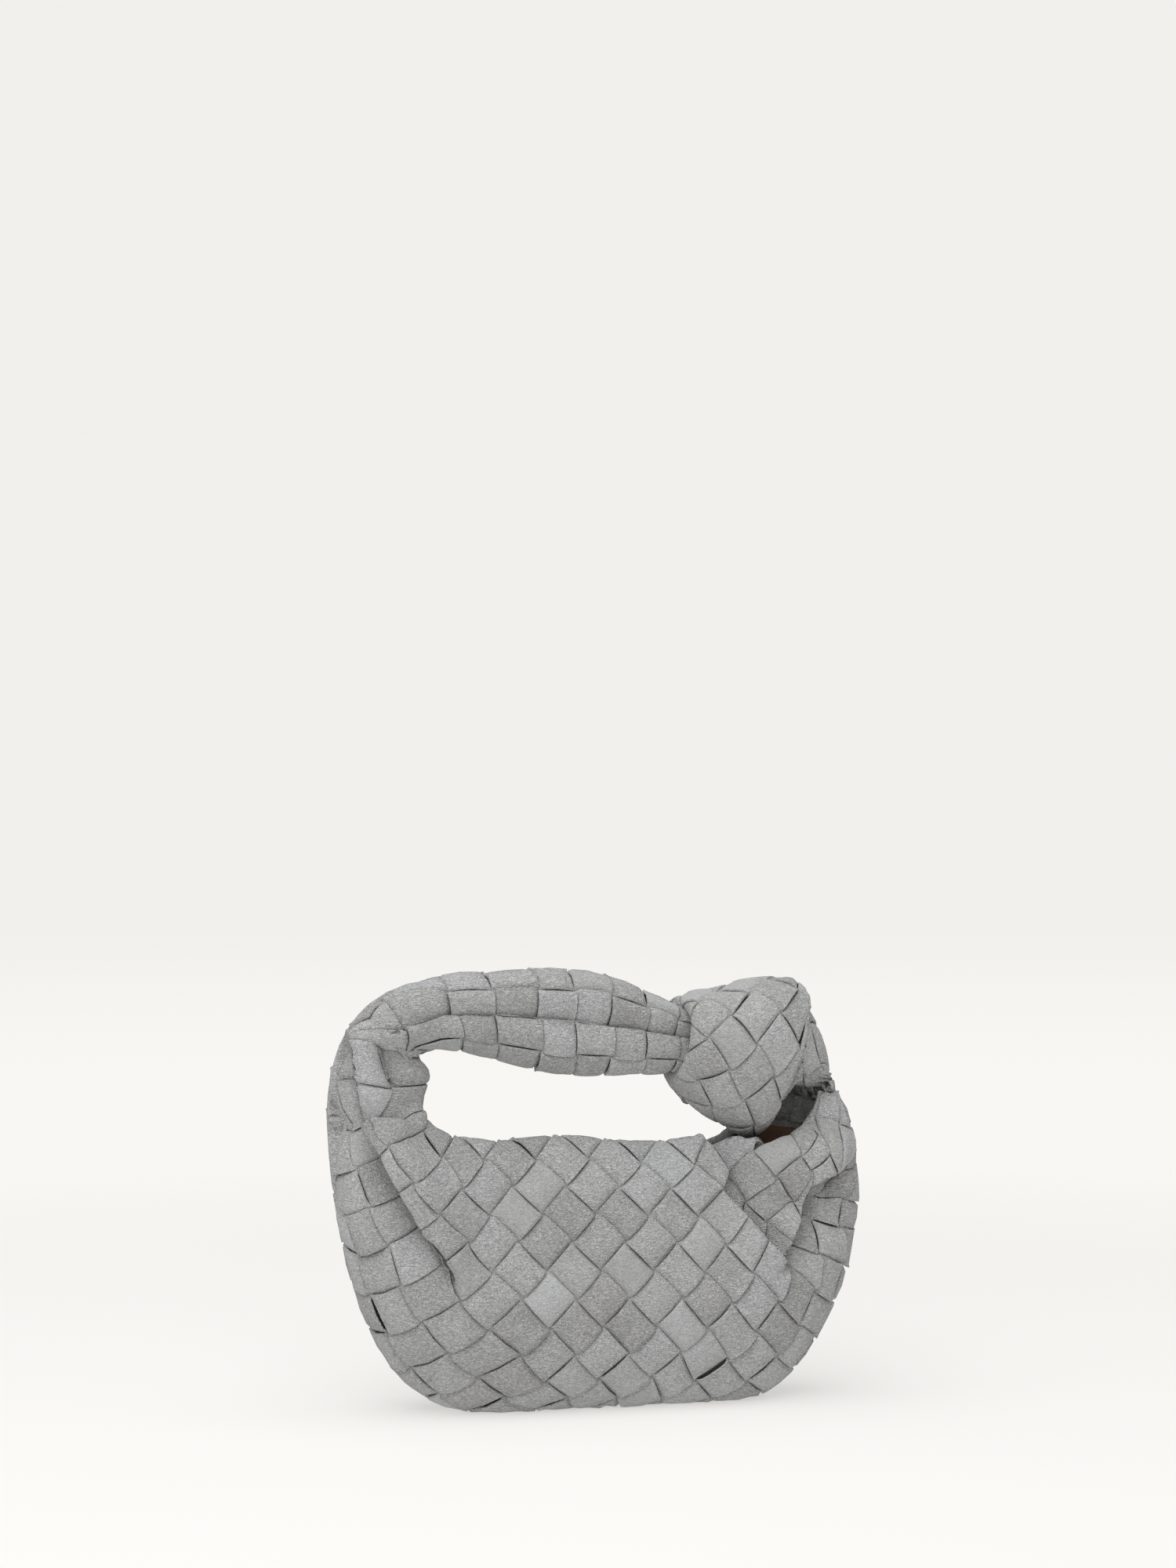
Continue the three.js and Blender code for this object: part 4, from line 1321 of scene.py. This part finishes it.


# The studio: how far the paper floor reaches, where it turns into lit paper and then fades into the
# background, how much of it glows as painted light that lightens the shadow on it, its grain, the
# tint of the room's light, and the lamps as name, place, size, strength and the point they face.
# Then the camera: its distance and angles from the bag, the way it looks, and its lens.
FLOOR_SIZE = 30.0
FLOOR_NEAR, FLOOR_FAR = 0.25, 0.9
FLOOR_LIT, FLOOR_END = 0.9, 4.0
FLOOR_GLOW = 0.55
PAPER_NOISE = {"Scale": 400.0, "Detail": 3.0}
ROOM_TINT = (1, 0.995, 0.985, 1)
LAMPS = [
    ("overhead_softbox", (-0.3, -0.3, 1.5), 2.0, 20.0, (0, 0, 0.05)),
    ("front_softbox", (-0.8, -1.6, 0.8), 1.8, 15.0, (0, 0, 0.07)),
]
CAMERA_DISTANCE = 1450.0
CAMERA_TURN, CAMERA_HEIGHT = math.radians(-18), math.radians(9.5)
CAMERA_YAW, CAMERA_PITCH = math.radians(-17.9197), math.radians(0.54386)
CAMERA_LENS, CAMERA_SENSOR, CAMERA_REACH = 90.0, 36.0, 100


class WeaveSettings(bpy.types.PropertyGroup):
    """Sizes of the woven strips."""

    strip_width: bpy.props.FloatProperty(
        name="Strip Width", description="Distance from one strip to the next",
        default=STRIP_WIDTH * MM, unit="LENGTH",
    )
    thickness: bpy.props.FloatProperty(
        name="Strip Thickness", description="Thickness of the suede",
        default=0.0012, unit="LENGTH",
    )
    crown: bpy.props.FloatProperty(
        name="Crown", description="How far a strip rises over the one it crosses",
        default=0.0017, unit="LENGTH",
    )
    dive: bpy.props.FloatProperty(
        name="Dive", description="How far a strip sinks where it goes under",
        default=0.0013, unit="LENGTH",
    )
    wobble: bpy.props.FloatProperty(
        name="Wobble", description="Unevenness of the suede",
        default=0.0007, unit="LENGTH",
    )
    edge_curl: bpy.props.FloatProperty(
        name="Edge Curl", description="How far the loosest cut edges stand up",
        default=0.0012, unit="LENGTH",
    )
    overlap: bpy.props.FloatProperty(
        name="Overlap", description="Share of a strip's width that it runs on under the next",
        default=0.06, subtype="FACTOR",
    )
    gap: bpy.props.FloatProperty(
        name="Gap", description="Share of a strip's width left open at each cut edge",
        default=-0.012, min=-0.1,
    )
    waver: bpy.props.FloatProperty(
        name="Waver", description="Share of a strip's width that its cut edges waver by",
        default=0.03, subtype="FACTOR",
    )
    plain_steps: bpy.props.IntVectorProperty(
        name="Plain Steps", description="Faces along and across each flat crossing",
        default=(6, 4), size=2, min=2,
    )
    folded_steps: bpy.props.IntVectorProperty(
        name="Folded Steps", description="Faces along and across a crossing on a fold or an edge",
        default=(14, 12), size=2, min=2,
    )


class FinishSettings(bpy.types.PropertyGroup):
    """Colours of the suede, its copies painted as shade and as light, and the lining."""

    suede_dark: bpy.props.FloatVectorProperty(
        name="Suede Dark", description="Suede in the nap's hollows",
        default=(0.268, 0.269, 0.267, 1), size=4, subtype="COLOR",
    )
    suede_light: bpy.props.FloatVectorProperty(
        name="Suede Light", description="Suede on the nap's tips",
        default=(0.568, 0.57, 0.565, 1), size=4, subtype="COLOR",
    )
    suede_rubbed: bpy.props.FloatVectorProperty(
        name="Suede Rubbed", description="Suede of strips rubbed smooth",
        default=(0.386, 0.394, 0.399, 1), size=4, subtype="COLOR",
    )
    # the strips below: the suede painted dark as shade
    back_shade_dark: bpy.props.FloatVectorProperty(
        name="Backing Shade Dark", description="Strips below, in the hollows",
        default=(0.05, 0.05, 0.05, 1), size=4, subtype="COLOR",
    )
    back_shade_light: bpy.props.FloatVectorProperty(
        name="Backing Shade Light", description="Strips below, on the nap",
        default=(0.11, 0.11, 0.108, 1), size=4, subtype="COLOR",
    )
    # the strips inside: the suede painted lighter than it is, as light in the shaded inside
    inside_fill_dark: bpy.props.FloatVectorProperty(
        name="Inside Fill Dark", description="Strips seen inside the mouth, dark",
        default=(0.36, 0.36, 0.355, 1), size=4, subtype="COLOR",
    )
    inside_fill_light: bpy.props.FloatVectorProperty(
        name="Inside Fill Light", description="Strips seen inside the mouth, light",
        default=(0.7, 0.7, 0.69, 1), size=4, subtype="COLOR",
    )
    lining_dark: bpy.props.FloatVectorProperty(
        name="Lining Dark", description="Lining leather, dark",
        default=(0.085, 0.048, 0.03, 1), size=4, subtype="COLOR",
    )
    lining_light: bpy.props.FloatVectorProperty(
        name="Lining Light", description="Lining leather, light",
        default=(0.25, 0.145, 0.095, 1), size=4, subtype="COLOR",
    )
    sheen: bpy.props.FloatProperty(
        name="Sheen", description="Sheen of the nap",
        default=0.3, subtype="FACTOR",
    )


class StudioSettings(bpy.types.PropertyGroup):
    """The floor, the background and the light."""

    floor: bpy.props.FloatVectorProperty(
        name="Floor", description="Paper floor under the bag",
        default=(0.93, 0.922, 0.905, 1), size=4, subtype="COLOR",
    )
    # the colour of the floor's glow near the bag, painted light
    floor_lit: bpy.props.FloatVectorProperty(
        name="Lit Floor", description="Paper floor behind the bag",
        default=(0.94, 0.93, 0.905, 1), size=4, subtype="COLOR",
    )
    background: bpy.props.FloatVectorProperty(
        name="Background", description="Background of the studio",
        default=(0.885, 0.868, 0.845, 1), size=4, subtype="COLOR",
    )
    room_light: bpy.props.FloatProperty(
        name="Room Light", description="Even light from all round",
        default=0.4, min=0,
    )
    lamp_power: bpy.props.FloatProperty(
        name="Lamp Power", description="Factor on the softboxes",
        default=1.0, min=0,
    )


# The skins and the lattice that several pieces use, by strip width
kept = {}


def bag_lattice(settings):
    """The bag's outer skin and the lattice on it, made once for a strip width."""
    width = settings.strip_width / MM
    if width not in kept:
        skin = BagSurface(PAD_BASE)
        lattice = Lattice(BagSurface(PAD_BASE, upright=True), width)
        kept[width] = (skin, lattice, BagSurface(PAD_BASE, pleated=True))
    return kept[width]


def suede(name="grey_suede"):
    """The suede of the strips, or its copy painted as shade or as light, made once."""
    finish = bpy.context.scene.hobo_finish
    if name in bpy.data.materials:
        return bpy.data.materials[name]
    # besides the suede, a copy painted dark as shade and one painted lighter as light
    colours = {
        "grey_suede": (finish.suede_dark, finish.suede_light, finish.suede_rubbed),
        "suede_painted_shade": (finish.back_shade_dark, finish.back_shade_light, finish.back_shade_light),
        "suede_painted_light": (finish.inside_fill_dark, finish.inside_fill_light, finish.inside_fill_light),
    }
    return suede_material(name, *map(tuple, colours[name]), finish.sheen)


def is_folded(skin, spots):
    """Whether a cell with four corner spots lies on a pleat or turns over a lip."""
    middle = spots.mean(axis=0)
    near = np.concatenate([spots, middle[None], (spots + np.roll(spots, 1, axis=0)) / 2])
    share = np.clip(near[:, 1], -1, 1)
    height = skin.look_up(skin.pleat[..., None], near[:, 0], share)
    return np.ptp(height) > FOLDED_RISE or np.abs(near[:, 1]).max() > FOLDED_SHARE


def strip_piece(name, chosen, folded):
    """Pads on cells of the bag's lattice: chosen by mean place and share, and folded or plain."""
    settings = bpy.context.scene.hobo_weave
    skin, lattice, pleated = bag_lattice(settings)
    corners, rolled = [], []
    for a, b in lattice.cells:
        spots = np.array([lattice.spots[k] for k in front_strip_order(a, b)])
        edges = ROLLED_EDGES.get((a, b), (0, 0))
        uneven = is_folded(skin, spots) or any(edges)
        if chosen(*spots.mean(axis=0)) and uneven == folded:
            corners.append(skin.to_grid(spots[:, 0], spots[:, 1]))
            rolled.append(edges)
    if not corners:
        raise RuntimeError(f"no crossings for {name}")
    base = grid_mesh(name + "_base", pleated.points, skin.normals)
    steps = settings.folded_steps if folded else settings.plain_steps
    return woven_piece(name, base, corners, settings, tuple(steps), suede(), rolled)


def inner_piece(name):
    """Pads on the inside of the right neck's back, where the strips that run below are on top."""
    settings = bpy.context.scene.hobo_weave
    lattice = bag_lattice(settings)[1]
    wall = BagSurface(NECK_INSIDE)
    corners = []
    for a, b in lattice.cells:
        spots = np.array([lattice.spots[k] for k in front_strip_order(a, b)])
        place, share = spots.mean(axis=0)
        if NECK_TOP < place < LINING_FROM and 0 < share < LINING_TOP:
            # the other strip is on top here, and it is seen from its other side
            spots = np.roll(spots, 1, axis=0)[[1, 0, 3, 2]]
            corners.append(wall.to_grid(spots[:, 0], np.clip(spots[:, 1], -1, 1)))
    base = grid_mesh(name + "_base", wall.points, -wall.normals)
    steps = tuple(settings.plain_steps)
    # these pads take the suede painted lighter, as light in the shaded inside of the neck
    return woven_piece(name, base, corners, settings, steps, suede("suede_painted_light"))


class HOBO_OT_pouch(bpy.types.Operator):
    """Weave the pouch with its two necks"""

    bl_idname = "hobo.pouch"
    bl_label = "Weave Pouch"

    def execute(self, context):
        between = lambda place: NECK_TOP < place < HANDLE_START
        on_pouch = lambda place, share: between(place) and abs(share) < LIP_PADS
        pieces = [
            strip_piece("pouch_weave", on_pouch, folded=False),
            strip_piece("pouch_folds", on_pouch, folded=True),
        ]
        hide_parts("pouch")
        for piece in pieces:
            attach(piece, "root")
        return {"FINISHED"}


class HOBO_OT_handle(bpy.types.Operator):
    """Weave the folded strap of the handle"""

    bl_idname = "hobo.handle"
    bl_label = "Weave Handle"

    def execute(self, context):
        on_handle = lambda place, share: place >= HANDLE_START and abs(share) < 1
        pieces = [
            strip_piece("handle_weave", on_handle, folded=True),
            strip_piece("handle_back", on_handle, folded=False),
        ]
        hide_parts("handle")
        for piece in pieces:
            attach(piece, "root")
        return {"FINISHED"}


class HOBO_OT_knot(bpy.types.Operator):
    """Weave the knot and the core that it is wound on, painted dark as shade"""

    bl_idname = "hobo.knot"
    bl_label = "Weave Knot"

    def execute(self, context):
        skin = KnotSurface(PAD_BASE)
        base = grid_mesh("knot_base", skin.points, skin.normals)
        weave = context.scene.hobo_weave
        steps = tuple(weave.folded_steps)
        piece = woven_piece("knot_weave", base, skin.cells(), weave, steps, suede())
        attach(piece, "root")
        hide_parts("knot")
        rings = KnotSurface(BACKING_OUTER).ring[:, :-1]
        core = link("knot_core", drum_mesh("knot_core", rings))
        # the core takes the suede painted dark as shade, where it shows between the knot's strips
        core.data.materials.append(suede("suede_painted_shade"))
        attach(core, "root")
        return {"FINISHED"}


class HOBO_OT_backing(bpy.types.Operator):
    """Lay the strips below: a wall painted as shade behind the weave, and the right neck's inside
    """

    bl_idname = "hobo.backing"
    bl_label = "Lay Backing"

    def execute(self, context):
        outer = BagSurface(BACKING_OUTER, pleated=True)
        inner = BagSurface(BACKING_INNER, pleated=True)
        ends = int(PLACE_MARGIN * STEPS_PER_RIB)
        handle = ends + HANDLE_START * STEPS_PER_RIB
        rows = np.r_[ends:handle:POUCH_KEPT, handle : len(outer.place) - ends : HANDLE_KEPT]
        keel = LIP_STEPS + SECTION_STEPS
        columns = np.r_[LIP_STEPS:keel:FRONT_KEPT, keel : keel + SECTION_STEPS + 1 : BACK_KEPT]
        wall = np.ix_(rows, columns)
        mesh = shell_mesh("weave_backing", outer.points[wall], inner.points[wall])
        piece = link("weave_backing", mesh)
        # the wall's outside and rims take the suede painted dark as shade, its inside the suede
        # painted lighter as light
        mesh.materials.append(suede("suede_painted_shade"))
        mesh.materials.append(suede("suede_painted_light"))
        for part in (piece, inner_piece("neck_inside")):
            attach(part, "root")
        return {"FINISHED"}


class HOBO_OT_lining(bpy.types.Operator):
    """Line the pouch with thin brown leather"""

    bl_idname = "hobo.lining"
    bl_label = "Line Pouch"

    def execute(self, context):
        finish = context.scene.hobo_finish
        outer = BagSurface(LINING_OUTER, LINING_SLACK)
        inner = BagSurface(LINING_INNER, LINING_SLACK)
        rows = np.flatnonzero((outer.place >= LINING_FROM) & (outer.place <= LINING_TO))
        share = outer.first_share + np.arange(outer.points.shape[1]) * outer.share_step
        columns = np.flatnonzero(np.abs(share) <= LINING_TOP)
        wall = np.ix_(rows[::LINING_ROWS_KEPT], columns[::LINING_COLUMNS_KEPT])
        mesh = shell_mesh("lining_leather", outer.points[wall], inner.points[wall])
        piece = link("lining_leather", mesh)
        colours = (finish.lining_dark, finish.lining_light)
        leather = leather_material("lining_leather", *map(tuple, colours))
        # the wall's outside and its inside
        for _ in range(2):
            mesh.materials.append(leather)
        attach(piece, "root")
        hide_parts("lining")
        return {"FINISHED"}


class HOBO_OT_studio(bpy.types.Operator):
    """Set the floor, the light and the camera"""

    bl_idname = "hobo.studio"
    bl_label = "Set Studio"

    def execute(self, context):
        studio = context.scene.hobo_studio
        half = FLOOR_SIZE / 2
        mesh = bpy.data.meshes.new("floor")
        corners = [(-half, -half, 0), (half, -half, 0), (half, half, 0), (-half, half, 0)]
        mesh.from_pydata(corners, [], [(0, 1, 2, 3)])
        colours = (studio.floor, studio.floor_lit, studio.background)
        mesh.materials.append(floor_material(*map(tuple, colours)))
        link("floor", mesh)
        for name, place, size, power, towards in LAMPS:
            lamp = bpy.data.lights.new(name, "AREA")
            lamp.size, lamp.energy = size, power * studio.lamp_power
            holder = bpy.data.objects.new(name, lamp)
            context.scene.collection.objects.link(holder)
            holder.location = place
            holder.rotation_mode = "QUATERNION"
            holder.rotation_quaternion = (Vector(towards) - Vector(place)).to_track_quat("-Z", "Y")
        self.world(context, studio)
        self.camera(context)
        context.scene.view_settings.view_transform = "Standard"
        return {"FINISHED"}

    def world(self, context, studio):
        """Even light from all round, seen as the pale background."""
        world = bpy.data.worlds.new("studio")
        world.use_nodes = True
        world.node_tree.nodes.clear()
        t = NodeTree(world.node_tree)
        even = {"Color": ROOM_TINT, "Strength": studio.room_light}
        light = t.add("ShaderNodeBackground", even)
        pale = {"Color": tuple(studio.background), "Strength": 1.0}
        seen = t.add("ShaderNodeBackground", pale)
        path = t.add("ShaderNodeLightPath").outputs["Is Camera Ray"]
        mixed = t.add("ShaderNodeMixShader", {0: path, 1: light.outputs[0], 2: seen.outputs[0]})
        t.add("ShaderNodeOutputWorld", {"Surface": mixed.outputs[0]})
        context.scene.world = world

    def camera(self, context):
        """The photograph's viewing angle: from the left and a little above, looking level."""
        place = CAMERA_DISTANCE * np.array([
            math.sin(CAMERA_TURN) * math.cos(CAMERA_HEIGHT),
            -math.cos(CAMERA_TURN) * math.cos(CAMERA_HEIGHT),
            math.sin(CAMERA_HEIGHT),
        ])
        forward = Vector((
            -math.sin(CAMERA_YAW) * math.cos(CAMERA_PITCH),
            math.cos(CAMERA_YAW) * math.cos(CAMERA_PITCH),
            -math.sin(CAMERA_PITCH),
        ))
        right = Vector((math.cos(CAMERA_YAW), math.sin(CAMERA_YAW), 0))
        turn = Matrix((right, right.cross(forward), -forward)).transposed().to_4x4()
        data = bpy.data.cameras.new("camera")
        data.lens, data.sensor_width = CAMERA_LENS, CAMERA_SENSOR
        data.clip_end = CAMERA_REACH
        holder = bpy.data.objects.new("camera", data)
        context.scene.collection.objects.link(holder)
        holder.matrix_world = Matrix.Translation((place + FRAME_SHIFT) * MM) @ turn
        context.scene.camera = holder


class HOBO_PT_bag(bpy.types.Panel):
    """Sizes, finishes and steps of the bag"""

    bl_idname = "HOBO_PT_bag"
    bl_label = "Knotted Hobo Bag"
    bl_space_type = "VIEW_3D"
    bl_region_type = "UI"
    bl_category = "Hobo bag"

    def draw(self, context):
        for operator in OPERATORS:
            self.layout.operator(operator.bl_idname)
        scene = context.scene
        for group in (scene.hobo_weave, scene.hobo_finish, scene.hobo_studio):
            box = self.layout.box()
            for key in group.bl_rna.properties.keys():
                if key not in ("rna_type", "name"):
                    box.prop(group, key)


OPERATORS = (
    HOBO_OT_studio, HOBO_OT_backing, HOBO_OT_lining,
    HOBO_OT_pouch, HOBO_OT_handle, HOBO_OT_knot,
)
CLASSES = (WeaveSettings, FinishSettings, StudioSettings, *OPERATORS, HOBO_PT_bag)


def register():
    """Adds the settings, the operators and the panel."""
    for cls in CLASSES:
        bpy.utils.register_class(cls)
    bpy.types.Scene.hobo_weave = bpy.props.PointerProperty(type=WeaveSettings)
    bpy.types.Scene.hobo_finish = bpy.props.PointerProperty(type=FinishSettings)
    bpy.types.Scene.hobo_studio = bpy.props.PointerProperty(type=StudioSettings)


def unregister():
    """Takes them away again."""
    del bpy.types.Scene.hobo_weave, bpy.types.Scene.hobo_finish, bpy.types.Scene.hobo_studio
    for cls in reversed(CLASSES):
        bpy.utils.unregister_class(cls)


def main():
    """Builds the bag in its studio."""
    register()
    bpy.ops.hobo.studio()
    bpy.ops.hobo.backing()
    bpy.ops.hobo.lining()
    bpy.ops.hobo.pouch()
    bpy.ops.hobo.handle()
    bpy.ops.hobo.knot()


if __name__ == "__main__":
    main()
